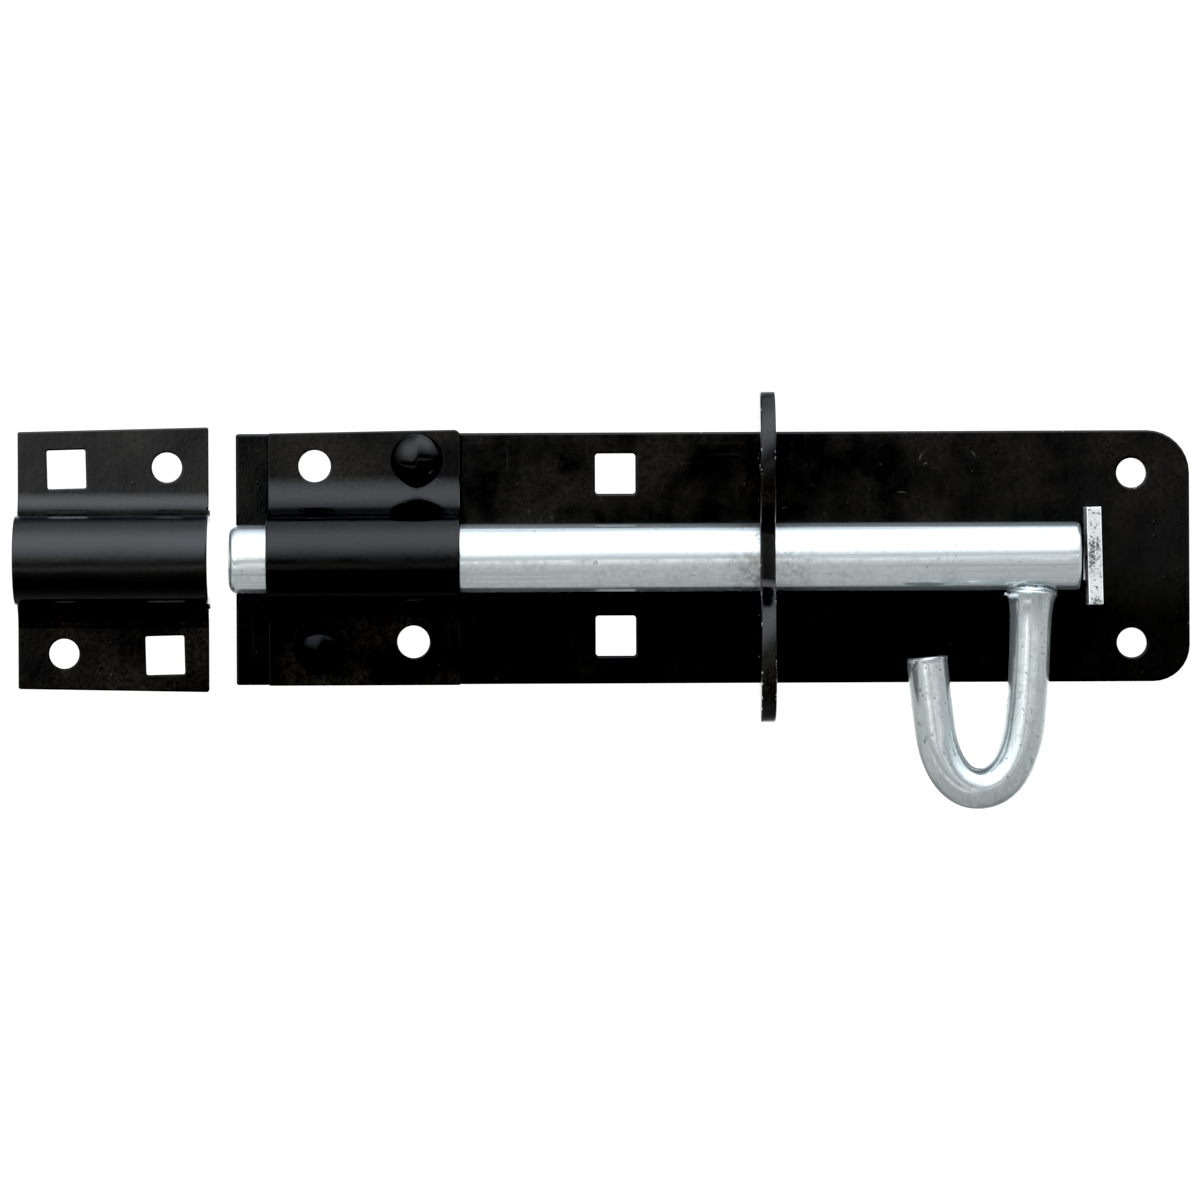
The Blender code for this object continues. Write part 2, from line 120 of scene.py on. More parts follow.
class Graph:
    """A node tree while it is being wired."""

    def __init__(self, tree: bpy.types.NodeTree) -> None:
        """Wire into this tree.

        Args:
            tree: the shader or geometry tree that takes the nodes.
        """
        self.tree = tree

    def add(self, kind: str, feeds: dict | None = None, **settings: object) -> bpy.types.Node:
        """Add a node, set it up and feed its inputs.

        Args:
            kind: the node's type name.
            feeds: a value or an output socket for each input, by name or number.
            settings: the node's own options.

        Returns:
            The new node.
        """
        node = self.tree.nodes.new(kind)
        for name, value in settings.items():
            setattr(node, name, value)
        for key, value in (feeds or {}).items():
            self.feed(node.inputs[key], value)
        return node

    def feed(self, socket: Socket, value: object) -> None:
        """Link an output into a socket, or set the socket's own value.

        Args:
            socket: the input to feed.
            value: an output socket or a plain value.
        """
        if isinstance(value, Socket):
            self.tree.links.new(value, socket)
        else:
            socket.default_value = value

    def math(self, operation: str, first: object, second: object = 0.0) -> Socket:
        """One step of arithmetic.

        Args:
            operation: the Math node's operation.
            first: the first number or socket.
            second: the second number or socket.

        Returns:
            The result's socket.
        """
        return self.add("ShaderNodeMath", {0: first, 1: second}, operation=operation).outputs[0]

    def plus(self, first: object, second: object) -> Socket:
        """The sum of two numbers or sockets."""
        return self.math("ADD", first, second)

    def minus(self, first: object, second: object) -> Socket:
        """The first number or socket less the second."""
        return self.math("SUBTRACT", first, second)

    def times(self, first: object, second: object) -> Socket:
        """The product of two numbers or sockets."""
        return self.math("MULTIPLY", first, second)

    def larger(self, first: object, second: object) -> Socket:
        """The larger of two numbers or sockets."""
        return self.math("MAXIMUM", first, second)

    def scaled(self, vector: object, factor: object) -> Socket:
        """A vector times a number.

        Args:
            vector: the vector's socket.
            factor: the number or its socket.

        Returns:
            The scaled vector's socket.
        """
        node = self.add("ShaderNodeVectorMath", operation="SCALE")
        self.feed(node.inputs[0], vector)
        self.feed(node.inputs["Scale"], factor)
        return node.outputs[0]

    def dot(self, vector: object, along: Triple) -> Socket:
        """How far a vector reaches along another.

        Args:
            vector: the vector's socket.
            along: the other vector.

        Returns:
            The result's socket.
        """
        node = self.add("ShaderNodeVectorMath", {0: vector, 1: along}, operation="DOT_PRODUCT")
        return node.outputs["Value"]

    def moved(self, where: object, shift: Triple) -> Socket:
        """Coordinates moved along.

        Args:
            where: the coordinates' socket.
            shift: how far they move.

        Returns:
            The new coordinates' socket.
        """
        return self.add("ShaderNodeVectorMath", {0: where, 1: shift}, operation="ADD").outputs[0]

    def stretched(self, where: object, scale: Triple, shift: Triple = (0, 0, 0)) -> Socket:
        """Coordinates scaled along each axis.

        Args:
            where: the coordinates' socket.
            scale: how much each axis is scaled.
            shift: how far the pattern is moved.

        Returns:
            The new coordinates' socket.
        """
        feeds = {"Vector": where, "Scale": scale, "Location": shift}
        return self.add("ShaderNodeMapping", feeds).outputs["Vector"]

    def noise(self, where: object, scale: float, detail: float = 2.0,
              rough: float = 0.5) -> Socket:
        """Cloudy noise from 0 to 1.

        Args:
            where: the coordinates' socket.
            scale: clouds per metre.
            detail: how many finer layers it has.
            rough: how strong the finer layers are.

        Returns:
            The noise's socket.
        """
        feeds = {"Vector": where, "Scale": scale, "Detail": detail, "Roughness": rough}
        return self.add("ShaderNodeTexNoise", feeds).outputs["Fac"]

    def band(self, value: object, low: float, high: float, to_low: float = 0.0,
             to_high: float = 1.0) -> Socket:
        """A value brought from one range to another and held inside it.

        Args:
            value: the value's socket.
            low: the input that gives to_low.
            high: the input that gives to_high.
            to_low: the output at low.
            to_high: the output at high.

        Returns:
            The result's socket.
        """
        feeds = {"Value": value, "From Min": low, "From Max": high, "To Min": to_low, "To Max": to_high}
        return self.add("ShaderNodeMapRange", feeds).outputs["Result"]

    def blend(self, factor: object, first: object, second: object) -> Socket:
        """A mix of two colours.

        Args:
            factor: 0 for the first colour, 1 for the second.
            first: the first colour or its socket.
            second: the second colour or its socket.

        Returns:
            The mixed colour's socket.
        """
        node = self.add("ShaderNodeMix", data_type="RGBA")
        for index, value in ((0, factor), (6, first), (7, second)):
            self.feed(node.inputs[index], value if isinstance(value, (Socket, float)) else (*value, 1))
        return node.outputs[2]

    def bump(self, height: object, distance: float, below: object | None = None) -> Socket:
        """A surface raised by a height.

        Args:
            height: the height's socket, from 0 to 1.
            distance: how far a height of 1 stands up, in metres.
            below: the normal that it adds to.

        Returns:
            The new normal's socket.
        """
        feeds = {"Strength": 1.0, "Distance": distance, "Height": height}
        if below is not None:
            feeds["Normal"] = below
        return self.add("ShaderNodeBump", feeds).outputs["Normal"]


# ---------------------------------------------------------------- finishes


@dataclass(frozen=True)
class Finish:
    """What every finish shares."""

    name: str

    def start(self) -> tuple[Material, Graph, Socket, bpy.types.Node]:
        """A new material with its tree, its coordinates and its shader.

        Returns:
            The material, its graph, the object coordinates' socket and the shader node.
        """
        material = bpy.data.materials.new(self.name)
        material.use_nodes = True
        graph = Graph(material.node_tree)
        where = graph.add("ShaderNodeTexCoord").outputs["Object"]
        return material, graph, where, material.node_tree.nodes["Principled BSDF"]


@dataclass(frozen=True)
class Scratch:
    """A short bowed mark: its X and Z, its half length and half width, and its slope in degrees."""

    x: float
    height: float
    half_length: float
    half_width: float
    slope: float
    bow: float = 1.6
    raggedness: float = 1.4
    border: Band = (0.35, 1.0)
    strength: float = 0.9

    def shown(self, graph: Graph, place: bpy.types.bpy_prop_collection, specks: object) -> Socket:
        """How strongly the mark shows.

        Args:
            graph: the paint's graph.
            place: the outputs that hold X and Z.
            specks: the noise that breaks its border.

        Returns:
            The strength's socket.
        """
        lean = math.radians(self.slope)
        from_middle = graph.add("ShaderNodeCombineXYZ", {"X": graph.minus(place["X"], self.x),
                                                         "Y": graph.minus(place["Z"], self.height)}).outputs[0]
        run = graph.dot(from_middle, (math.cos(lean) / self.half_length, math.sin(lean) / self.half_length, 0.0))
        side = graph.dot(from_middle, (-math.sin(lean) / self.half_width, math.cos(lean) / self.half_width, 0.0))
        bowed = graph.plus(side, graph.times(graph.times(run, run), self.bow))
        away = graph.larger(graph.math("ABSOLUTE", run), graph.math("ABSOLUTE", bowed))
        ragged = graph.plus(away, graph.times(graph.minus(specks, 0.5), self.raggedness))
        return graph.band(ragged, *self.border, self.strength, 0.0)


@dataclass(frozen=True)
class BlackPaint(Finish):
    """Glossy black paint on steel: orange peel, dust nibs, rubs, scratches and chipped edges, with dust that also
    carries a painted sheen changing with height, and gloss lowered towards the bottom as painted shade.
    """

    deep: Colour = (0.0016, 0.0014, 0.0012)
    # This lighter colour is used for dust and also for a painted sheen whose strength changes with height.
    dust_and_sheen_colour: Colour = (0.0150, 0.0122, 0.0078)
    bare: Colour = (0.50, 0.51, 0.52)
    scratch_colour: Colour = (0.045, 0.045, 0.046)
    scratches: tuple[Scratch, ...] = ()
    smooth: float = 0.15
    rubbed: float = 0.26
    gloss: float = 0.40
    # Below the heights given next, the specular falls from gloss to low_gloss: painted shade that darkens the lower
    # parts.
    low_gloss: float = 0.40
    gloss_heights: Band = (-0.012, -0.002)

    cloud_noise: Noise = (70.0, 4.0, 0.6)
    speck_noise: Noise = (1500.0, 2.0, 0.6)
    dust_clouds: Band = (0.40, 0.70)
    dust_specks: Band = (0.35, 0.75)
    # The dust's strength at the lowest height, against 1 at the highest: this change with height is painted sheen,
    # lighter tops on some pieces and lighter bottoms on others, not a real spread of dust.
    low_dust_and_sheen: float = 0.25
    high_dust: float = 0.1
    dust_depths: Band = (-0.0085, -0.0055)
    # The heights over which the painted sheen in the dust changes.
    dust_and_sheen_heights: Band = (-0.012, 0.012)

    chip_noise: Noise = (520.0, 3.0, 0.65)
    chip_level: float = 0.68
    chip_border: float = 0.03
    chip_edges: Band = (0.55, 0.95)
    chip_depth: float = 0.00006

    # Rubs run along the bolt and aslant: each is a noise stretched along the axes.
    across_stretch: Triple = (45.0, 600.0, 900.0)
    across_noise: Noise = (1.0, 3.0, 0.6)
    across_band: Band = (0.63, 0.72)
    slant_stretch: Triple = (700.0, 500.0, 60.0)
    slant_shift: Triple = (3.0, 1.0, 7.0)
    slant_noise: Noise = (1.0, 2.0, 0.6)
    slant_band: Band = (0.67, 0.74)
    rub_haze: float = 0.7
    rub_depth: float = 0.000005
    haze_clouds: Band = (0.40, 0.75)

    nibs_per_metre: float = 420.0
    nib_choice: Band = (0.86, 0.88)
    nib_reach: Band = (0.05, 0.16)
    nib_height: float = 0.00005
    wave_noise: Noise = (110.0, 1.0, 0.5)
    wave_depth: float = 0.00006
    peel_noise: Noise = (850.0, 2.0, 0.5)
    peel_depth: float = 0.000014

    def build(self) -> Material:
        """Make the paint's material.

        Returns:
            The material.
        """
        material, graph, where, shader = self.start()
        place = graph.add("ShaderNodeSeparateXYZ", {0: where}).outputs
        clouds = graph.noise(where, *self.cloud_noise)
        specks = graph.noise(where, *self.speck_noise)
        settled = graph.times(graph.band(clouds, *self.dust_clouds), graph.band(specks, *self.dust_specks))
        on_flats = graph.times(settled, graph.band(place["Y"], *self.dust_depths, self.high_dust, 1.0))
        # Dust scaled by height: the part that changes with height is painted sheen.
        dust = graph.times(on_flats, graph.band(place["Z"], *self.dust_and_sheen_heights, self.low_dust_and_sheen, 1.0))
        painted = graph.blend(dust, self.deep, self.dust_and_sheen_colour)
        for scratch in self.scratches:
            painted = graph.blend(scratch.shown(graph, place, specks), painted, self.scratch_colour)
        chips = self.chips(graph, where)
        graph.feed(shader.inputs["Base Color"], graph.blend(chips, painted, self.bare))

        rubs = self.rubs(graph, where)
        haze = graph.larger(graph.times(rubs, self.rub_haze), graph.band(clouds, *self.haze_clouds))
        graph.feed(shader.inputs["Roughness"], graph.band(haze, 0.0, 1.0, self.smooth, self.rubbed))
        # Specular lowered towards the bottom as painted shade.
        if self.low_gloss == self.gloss:
            shader.inputs["Specular IOR Level"].default_value = self.gloss
        else:
            graph.feed(shader.inputs["Specular IOR Level"],
                       graph.band(place["Z"], *self.gloss_heights, self.low_gloss, self.gloss))

        waves = graph.bump(graph.noise(where, *self.wave_noise), self.wave_depth)
        peel = graph.bump(graph.noise(where, *self.peel_noise), self.peel_depth, waves)
        raised = graph.bump(self.nibs(graph, where), self.nib_height, peel)
        scored = graph.bump(rubs, -self.rub_depth, raised)
        graph.feed(shader.inputs["Normal"], graph.bump(chips, -self.chip_depth, scored))
        return material

    def chips(self, graph: Graph, where: object) -> Socket:
        """Where paint has come off an exposed edge.

        Args:
            graph: the paint's graph.
            where: the coordinates' socket.

        Returns:
            The chips' socket, from 0 to 1.
        """
        edge = graph.add("ShaderNodeAttribute", attribute_name=EDGE_WEAR_AND_HIGHLIGHT).outputs["Fac"]
        weak = graph.band(graph.noise(where, *self.chip_noise), self.chip_level, self.chip_level + self.chip_border)
        return graph.times(graph.band(edge, *self.chip_edges), weak)

    def rubs(self, graph: Graph, where: object) -> Socket:
        """Fine lines rubbed along the bolt and aslant.

        Args:
            graph: the paint's graph.
            where: the coordinates' socket.

        Returns:
            The rubs' socket, from 0 to 1.
        """
        across = graph.noise(graph.stretched(where, self.across_stretch), *self.across_noise)
        slant = graph.noise(graph.stretched(where, self.slant_stretch, self.slant_shift), *self.slant_noise)
        return graph.larger(graph.band(across, *self.across_band), graph.band(slant, *self.slant_band))

    def nibs(self, graph: Graph, where: object) -> Socket:
        """Grains of dust caught in the paint.

        Args:
            graph: the paint's graph.
            where: the coordinates' socket.

        Returns:
            The nibs' socket, from 0 to 1.
        """
        cells = graph.add("ShaderNodeTexVoronoi", {"Vector": where, "Scale": self.nibs_per_metre}).outputs
        lot = graph.add("ShaderNodeSeparateColor", {"Color": cells["Color"]}).outputs[0]
        near = graph.band(cells["Distance"], *self.nib_reach, 1.0, 0.0)
        return graph.times(graph.band(lot, *self.nib_choice), near)


@dataclass(frozen=True)
class Zinc(Finish):
    """Zinc plate on steel: fine lines, clouding, pits and scuffs, and on some pieces a painted highlight along the
    rounded edges.
    """

    light: Colour = (0.80, 0.865, 0.87)
    dull: Colour = (0.52, 0.58, 0.59)
    pit: Colour = (0.13, 0.135, 0.13)
    stain: Colour = (0.36, 0.36, 0.33)
    # The colour of the painted highlight along rounded edges.
    edge: Colour = (0.93, 0.95, 0.94)
    smooth: float = 0.13
    rough: float = 0.30
    metal: float = 1.0

    grain: Triple = (22.0, 1500.0, 1500.0)
    grain_depth: float = 0.000014
    line_noise: Noise = (1.0, 4.0, 0.65)
    line_band: Band = (0.50, 0.72)
    broad_share: float = 0.42
    broad_shift: Triple = (5.0, 2.0, 1.0)
    broad_noise: Noise = (1.0, 2.0, 0.6)
    broad_band: Band = (0.54, 0.70)
    line_depth: float = 0.0
    line_strength: float = 0.75

    cloud_noise: Noise = (190.0, 4.0, 0.62)
    cloud_band: Band = (0.35, 0.72)
    mottle_noise: Noise = (900.0, 3.0, 0.6)
    mottle_band: Band = (0.30, 0.75)
    mottle_depth: float = 0.000008

    pit_noise: Noise = (1300.0, 2.0, 0.7)
    pit_level: float = 0.70
    pit_border: float = 0.04
    scuff_noise: Noise = (240.0, 3.0, 0.7)
    scuff_level: float = 0.66
    scuff_border: float = 0.05
    scuff_mottle: Band = (0.45, 0.60)
    scuff_strength: float = 0.65
    mark_depth: float = 0.00003
    # For each dark blot, its X and Z and its half sizes.
    blots: tuple[tuple[Point, Point], ...] = ()
    blot_noise: Noise = (2300.0, 3.0, 0.7)
    blot_raggedness: float = 4.5
    blot_border: Band = (0.45, 0.95)

    stain_at: float = 0.0112
    stain_reach: float = 0.0
    stain_core: float = 0.25
    stain_noise: Noise = (480.0, 4.0, 0.65)
    stain_band: Band = (0.46, 0.66)
    stain_strength: float = 0.8
    # How strongly rounded edges get the painted highlight, and the exposure over which it comes in.
    edge_highlight: float = 0.0
    edge_highlight_band: Band = (0.15, 0.75)

    def build(self) -> Material:
        """Make the plating's material.

        Returns:
            The material.
        """
        material, graph, where, shader = self.start()
        lines = graph.noise(graph.stretched(where, self.grain), *self.line_noise)
        broad_grain = tuple(size * self.broad_share for size in self.grain)
        broad_lines = graph.noise(graph.stretched(where, broad_grain, self.broad_shift), *self.broad_noise)
        mottle = graph.noise(where, *self.mottle_noise)
        clouded = graph.times(graph.band(graph.noise(where, *self.cloud_noise), *self.cloud_band),
                              graph.band(mottle, *self.mottle_band))
        streaks = graph.larger(graph.band(lines, *self.line_band), graph.band(broad_lines, *self.broad_band))
        worn = graph.larger(clouded, graph.times(streaks, self.line_strength))
        marks = self.marks(graph, where, mottle)
        surface = graph.blend(worn, self.light, self.dull)
        if self.stain_reach:
            surface = graph.blend(self.stained(graph, where), surface, self.stain)
        surface = graph.blend(marks, surface, self.pit)
        # Rounded edges are painted lighter and less metallic: a painted highlight.
        if self.edge_highlight:
            rim = graph.add("ShaderNodeAttribute", attribute_name=EDGE_WEAR_AND_HIGHLIGHT).outputs["Fac"]
            painted_highlight = graph.times(graph.band(rim, *self.edge_highlight_band), self.edge_highlight)
            surface = graph.blend(painted_highlight, surface, self.edge)
            graph.feed(shader.inputs["Metallic"], graph.minus(self.metal, graph.times(painted_highlight, self.metal)))
        else:
            shader.inputs["Metallic"].default_value = self.metal
        graph.feed(shader.inputs["Base Color"], surface)
        haze = graph.larger(worn, marks)
        graph.feed(shader.inputs["Roughness"], graph.band(haze, 0.0, 1.0, self.smooth, self.rough))

        scored = graph.bump(lines, self.grain_depth)
        if self.line_depth:
            scored = graph.bump(broad_lines, self.line_depth, scored)
        pocked = graph.bump(marks, -self.mark_depth, scored)
        graph.feed(shader.inputs["Normal"], graph.bump(mottle, self.mottle_depth, pocked))
        return material

    def marks(self, graph: Graph, where: object, mottle: object) -> Socket:
        """Pits, scuffs and dark blots.

        Args:
            graph: the plating's graph.
            where: the coordinates' socket.
            mottle: the fine mottle's socket.

        Returns:
            The marks' socket, from 0 to 1.
        """
        pits = graph.band(graph.noise(where, *self.pit_noise), self.pit_level, self.pit_level + self.pit_border)
        scuffed = graph.band(graph.noise(where, *self.scuff_noise), self.scuff_level,
                             self.scuff_level + self.scuff_border)
        scuffs = graph.times(scuffed, graph.band(mottle, *self.scuff_mottle))
        marks = graph.larger(pits, graph.times(scuffs, self.scuff_strength))
        for (x, height), (wide, tall) in self.blots:
            shifted = graph.stretched(where, (1 / wide, 0.0, 1 / tall), (-x / wide, 0.0, -height / tall))
            away = graph.add("ShaderNodeVectorMath", {0: shifted}, operation="LENGTH").outputs["Value"]
            fine = graph.noise(where, *self.blot_noise)
            ragged = graph.plus(away, graph.times(graph.minus(fine, 0.5), self.blot_raggedness))
            marks = graph.larger(marks, graph.band(ragged, *self.blot_border, 1.0, 0.0))
        return marks

    def stained(self, graph: Graph, where: object) -> Socket:
        """How strongly the patch where the staple rubs is stained.

        Args:
            graph: the plating's graph.
            where: the coordinates' socket.

        Returns:
            The stain's socket.
        """
        x = graph.add("ShaderNodeSeparateXYZ", {0: where}).outputs["X"]
        away = graph.math("ABSOLUTE", graph.minus(x, self.stain_at))
        near = graph.band(away, self.stain_reach * self.stain_core, self.stain_reach, 1.0, 0.0)
        patches = graph.band(graph.noise(where, *self.stain_noise), *self.stain_band)
        return graph.times(graph.times(near, patches), self.stain_strength)


# ---------------------------------------------------------------- outlines and sheets


def arc(centre: Point, radius: float, start: float, end: float, steps: int) -> Loop:
    """Points along an arc, both ends included.

    Args:
        centre: the arc's centre.
        radius: its radius.
        start: the angle that it starts at, in degrees.
        end: the angle that it ends at.
        steps: how many steps it takes.

    Returns:
        The points.
    """
    turns = (math.radians(start + (end - start) * step / steps) for step in range(steps + 1))
    return [(centre[0] + radius * math.cos(turn), centre[1] + radius * math.sin(turn)) for turn in turns]


def circle(centre: Point, radius: float, steps: int = 64) -> Loop:
    """A round hole's outline.

    Args:
        centre: the hole's centre.
        radius: its radius.
        steps: how many sides it has.

    Returns:
        The closed loop.
    """
    return arc(centre, radius, 0, 360, steps)[:-1]


def rounded(corners: tuple[Point, ...], radii: tuple[float, ...], steps: int) -> Loop:
    """An outline with four rounded corners: top right, top left, bottom left, bottom right.

    Args:
        corners: where its sides would meet.
        radii: the radius of each corner.
        steps: how many steps each corner takes.

    Returns:
        The closed loop.
    """
    loop: Loop = []
    for index, ((x, y), radius, (side, rise)) in enumerate(zip(corners, radii, QUARTERS)):
        loop += arc((x - side * radius, y - rise * radius), radius, 90 * index, 90 * index + 90, steps)
    return loop


def rectangle(centre: Point, width: float, height: float, corners: tuple[float, ...],
              turn: float = 0.0) -> Loop:
    """A rectangle with a radius for each corner: top right, top left, bottom left, bottom right.

    Args:
        centre: its centre.
        width: its size across.
        height: its size up.
        corners: the four radii.
        turn: how far it is turned, in degrees.

    Returns:
        The closed loop.
    """
    loop = rounded(tuple((side * width / 2, rise * height / 2) for side, rise in QUARTERS), corners, 8)
    cosine, sine = math.cos(math.radians(turn)), math.sin(math.radians(turn))
    return [(centre[0] + a * cosine - b * sine, centre[1] + a * sine + b * cosine) for a, b in loop]


def wound(loop: Loop, outer: bool) -> Loop:
    """A loop that keeps its material on its left.

    Args:
        loop: the closed loop.
        outer: whether it is the sheet's edge and not a hole.

    Returns:
        The loop, turned round if it has to be.
    """
    area = sum(a[0] * b[1] - b[0] * a[1] for a, b in zip(loop, loop[1:] + loop[:1]))
    return loop if (area > 0) == outer else loop[::-1]


def inset(loop: Loop, distance: float) -> Loop:
    """A wound loop moved into its material, with mitred corners.

    Args:
        loop: the closed loop.
        distance: how far it moves.

    Returns:
        The moved loop.
    """
    moved: Loop = []
    for index, point in enumerate(loop):
        before = Vector(point) - Vector(loop[index - 1])
        after = Vector(loop[(index + 1) % len(loop)]) - Vector(point)
        first = Vector((-before.y, before.x)).normalized()
        second = Vector((-after.y, after.x)).normalized()
        shift = (first + second) * (distance / (1 + first.dot(second)))
        moved.append((point[0] + shift.x, point[1] + shift.y))
    return moved


@dataclass(frozen=True)
class Blank:
    """A flat piece of sheet with its holes, its edges rolled on both faces."""

    outline: Loop
    holes: tuple[Loop, ...] = ()
    thickness: float = 0.0030
    edge: float = 0.00035
    edge_steps: int = 3
    filled: tuple[Loop, ...] = ()
    filled_edge: float = 0.00008
    rim: float = 0.00008

    def section(self, edge: float) -> list[Triple]:
        """How a rolled edge runs from the front to the back.

        Args:
            edge: its radius.

        Returns:
            For each step, the distance into the material, the height and how exposed the edge is, which places both
            wear and the painted edge highlight.
        """
        half, rolled = self.thickness / 2, [(edge + self.rim, self.thickness / 2, 0.0)]
        for step in range(self.edge_steps + 1):
            turn = math.pi / 2 * step / self.edge_steps
            rolled.append((edge * (1 - math.sin(turn)), half - edge * (1 - math.cos(turn)), math.sin(2 * turn)))
        return rolled + [(distance, -height, worn) for distance, height, worn in reversed(rolled)]

    def build(self) -> Shape:
        """Make the sheet, lying flat with its front upwards.

        Returns:
            The closed shape, with how exposed each point is, which places both wear and the painted edge highlight.
        """
        shape = bmesh.new()
        wear = shape.verts.layers.float.new(EDGE_WEAR_AND_HIGHLIGHT)
        loops = [(wound(self.outline, True), self.edge)]
        loops += [(wound(hole, False), self.edge) for hole in self.holes]
        loops += [(wound(hole, False), self.filled_edge) for hole in self.filled]
        all_rings = []
        for loop, edge in loops:
            rings = []
            for distance, height, worn in self.section(edge):
                ring = [shape.verts.new((across, up, height)) for across, up in inset(loop, distance)]
                for vertex in ring:
                    vertex[wear] = worn
                rings.append(ring)
            for upper, lower in zip(rings, rings[1:]):
                for index in range(len(upper)):
                    shape.faces.new((upper[index - 1], upper[index], lower[index], lower[index - 1]))
            all_rings.append(rings)
        for level in (0, -1):
            flat = [[Vector((vertex.co.x, vertex.co.y, 0)) for vertex in rings[level]] for rings in all_rings]
            corners = [vertex for rings in all_rings for vertex in rings[level]]
            for triangle in tessellate_polygon(flat):
                shape.faces.new([corners[index] for index in triangle])
        bmesh.ops.recalc_face_normals(shape, faces=shape.faces)
        return shape


def facing_front(depth: float) -> Matrix:
    """Placement of a sheet drawn in X and Z whose middle is at a depth."""
    return Matrix.Translation((0, -depth, 0)) @ Matrix.Rotation(math.radians(90), 4, "X")


def standing(x: float, twist: float = 0.0) -> Matrix:
    """Placement of a sheet drawn in Z and depth, square to the bolt at x."""
    upright = Matrix(((0, 0, 1), (0, -1, 0), (1, 0, 0))).to_4x4()
    return Matrix.Translation((x, 0, 0)) @ Matrix.Rotation(twist, 4, "Y") @ upright


def plain(host: Piece, name: str) -> Piece:
    """Turn an object and its modifiers into a new object with a plain mesh.

    Args:
        host: the object that carries the modifiers, which is removed.
        name: the new object's name.

    Returns:
        The new object, at the origin.
    """
    bpy.context.view_layer.update()
    evaluated = host.evaluated_get(bpy.context.evaluated_depsgraph_get())
    mesh = bpy.data.meshes.new_from_object(evaluated)
    mesh.name = name
    bpy.data.objects.remove(host, do_unlink=True)
    piece = bpy.data.objects.new(name, mesh)
    bpy.context.scene.collection.objects.link(piece)
    return piece


def linked(name: str, shape: Shape) -> Piece:
    """Put a shape in the scene as an object.

    Args:
        name: the object's name.
        shape: the shape, which is freed.

    Returns:
        The object.
    """
    mesh = bpy.data.meshes.new(name)
    shape.to_mesh(mesh)
    shape.free()
    piece = bpy.data.objects.new(name, mesh)
    bpy.context.scene.collection.objects.link(piece)
    return piece


def settle(name: str, shape: Shape) -> Piece:
    """Make a shape an object whose broad faces shade flat and whose rolled edges shade round.

    Args:
        name: the object's name.
        shape: the shape, which is freed.

    Returns:
        The object with a plain mesh.
    """
    host = linked(name + "_host", shape)
    host.data.shade_smooth()
    weighted = host.modifiers.new("shading", "WEIGHTED_NORMAL")
    weighted.keep_sharp = True
    return plain(host, name)


def dress(piece: Piece, finish: Material, body: Body,
          nodes: tuple[str, ...] = ()) -> None:
    """Give a piece its finish, its body and the CAD nodes that it stands for.

    Args:
        piece: the finished piece.
        finish: its material.
        body: the body that it rides on.
        nodes: the CAD nodes that it replaces.
    """
    piece.data.materials.clear()
    piece.data.materials.append(finish)
    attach(piece, body.value)
    if nodes:
        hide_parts(*nodes)
    LOG.info("%s: %d faces on %s", piece.name, len(piece.data.polygons), body.value)


# ---------------------------------------------------------------- geometry trees


def start_tree(name: str, sizes: tuple[str, ...]) -> tuple[Graph, bpy.types.bpy_prop_collection]:
    """A geometry tree with an input for each size and one for the finish.

    Args:
        name: the tree's name.
        sizes: the names of its sizes.

    Returns:
        Its graph and its inputs.
    """
    tree = bpy.data.node_groups.new(name, "GeometryNodeTree")
    tree.interface.new_socket("Geometry", in_out="INPUT", socket_type="NodeSocketGeometry")
    for size in sizes:
        tree.interface.new_socket(size, in_out="INPUT", socket_type="NodeSocketFloat")
    tree.interface.new_socket("Finish", in_out="INPUT", socket_type="NodeSocketMaterial")
    tree.interface.new_socket("Geometry", in_out="OUTPUT", socket_type="NodeSocketGeometry")
    graph = Graph(tree)
    return graph, graph.add("NodeGroupInput").outputs


@dataclass(frozen=True)
class Lumps:
    """Unevenness: its seed, how many lumps to a metre, their finer layers and the level that doesn't move."""

    seed: int
    grain: object
    detail: float
    middle: float


def end_tree(graph: Graph, shape: Socket, finish: Socket, lumps: Lumps, depth: Socket) -> Tree:
    """Press lumps into a tree's shape, smooth it, make it real and give it its finish.

    Args:
        graph: the tree's graph.
        shape: the shape's socket.
        finish: the finish's socket.
        lumps: its unevenness.
        depth: how far the whole range of the lumps would move the surface.

    Returns:
        The geometry tree.
    """
    place = graph.add("GeometryNodeInputPosition").outputs[0]
    level = graph.noise(graph.moved(place, (lumps.seed, 0, 0)), lumps.grain, lumps.detail)
    raised = graph.minus(level, lumps.middle)
    out = graph.add("GeometryNodeInputNormal").outputs["Normal"]
    push = graph.scaled(out, graph.times(raised, depth))
    uneven = graph.add("GeometryNodeSetPosition", {"Geometry": shape, "Offset": push}).outputs[0]
    smooth = graph.add("GeometryNodeSetShadeSmooth", {"Geometry": uneven}).outputs[0]
    real = graph.add("GeometryNodeRealizeInstances", {"Geometry": smooth}).outputs[0]
    clad = graph.add("GeometryNodeSetMaterial", {"Geometry": real, "Material": finish}).outputs[0]
    graph.add("NodeGroupOutput", {0: clad})
    return graph.tree


def apply_tree(host: Piece, tree: Tree, values: dict[str, object]) -> None:
    """Put a geometry tree on an object and set its inputs by their identifiers.

    Args:
        host: the object that carries the tree.
        tree: the geometry tree.
        values: a value for each named input.
    """
    modifier = host.modifiers.new(tree.name, "NODES")
    modifier.node_group = tree
    for item in tree.interface.items_tree:
        if item.item_type == "SOCKET" and item.in_out == "INPUT" and item.name in values:
            modifier[item.identifier] = values[item.name]


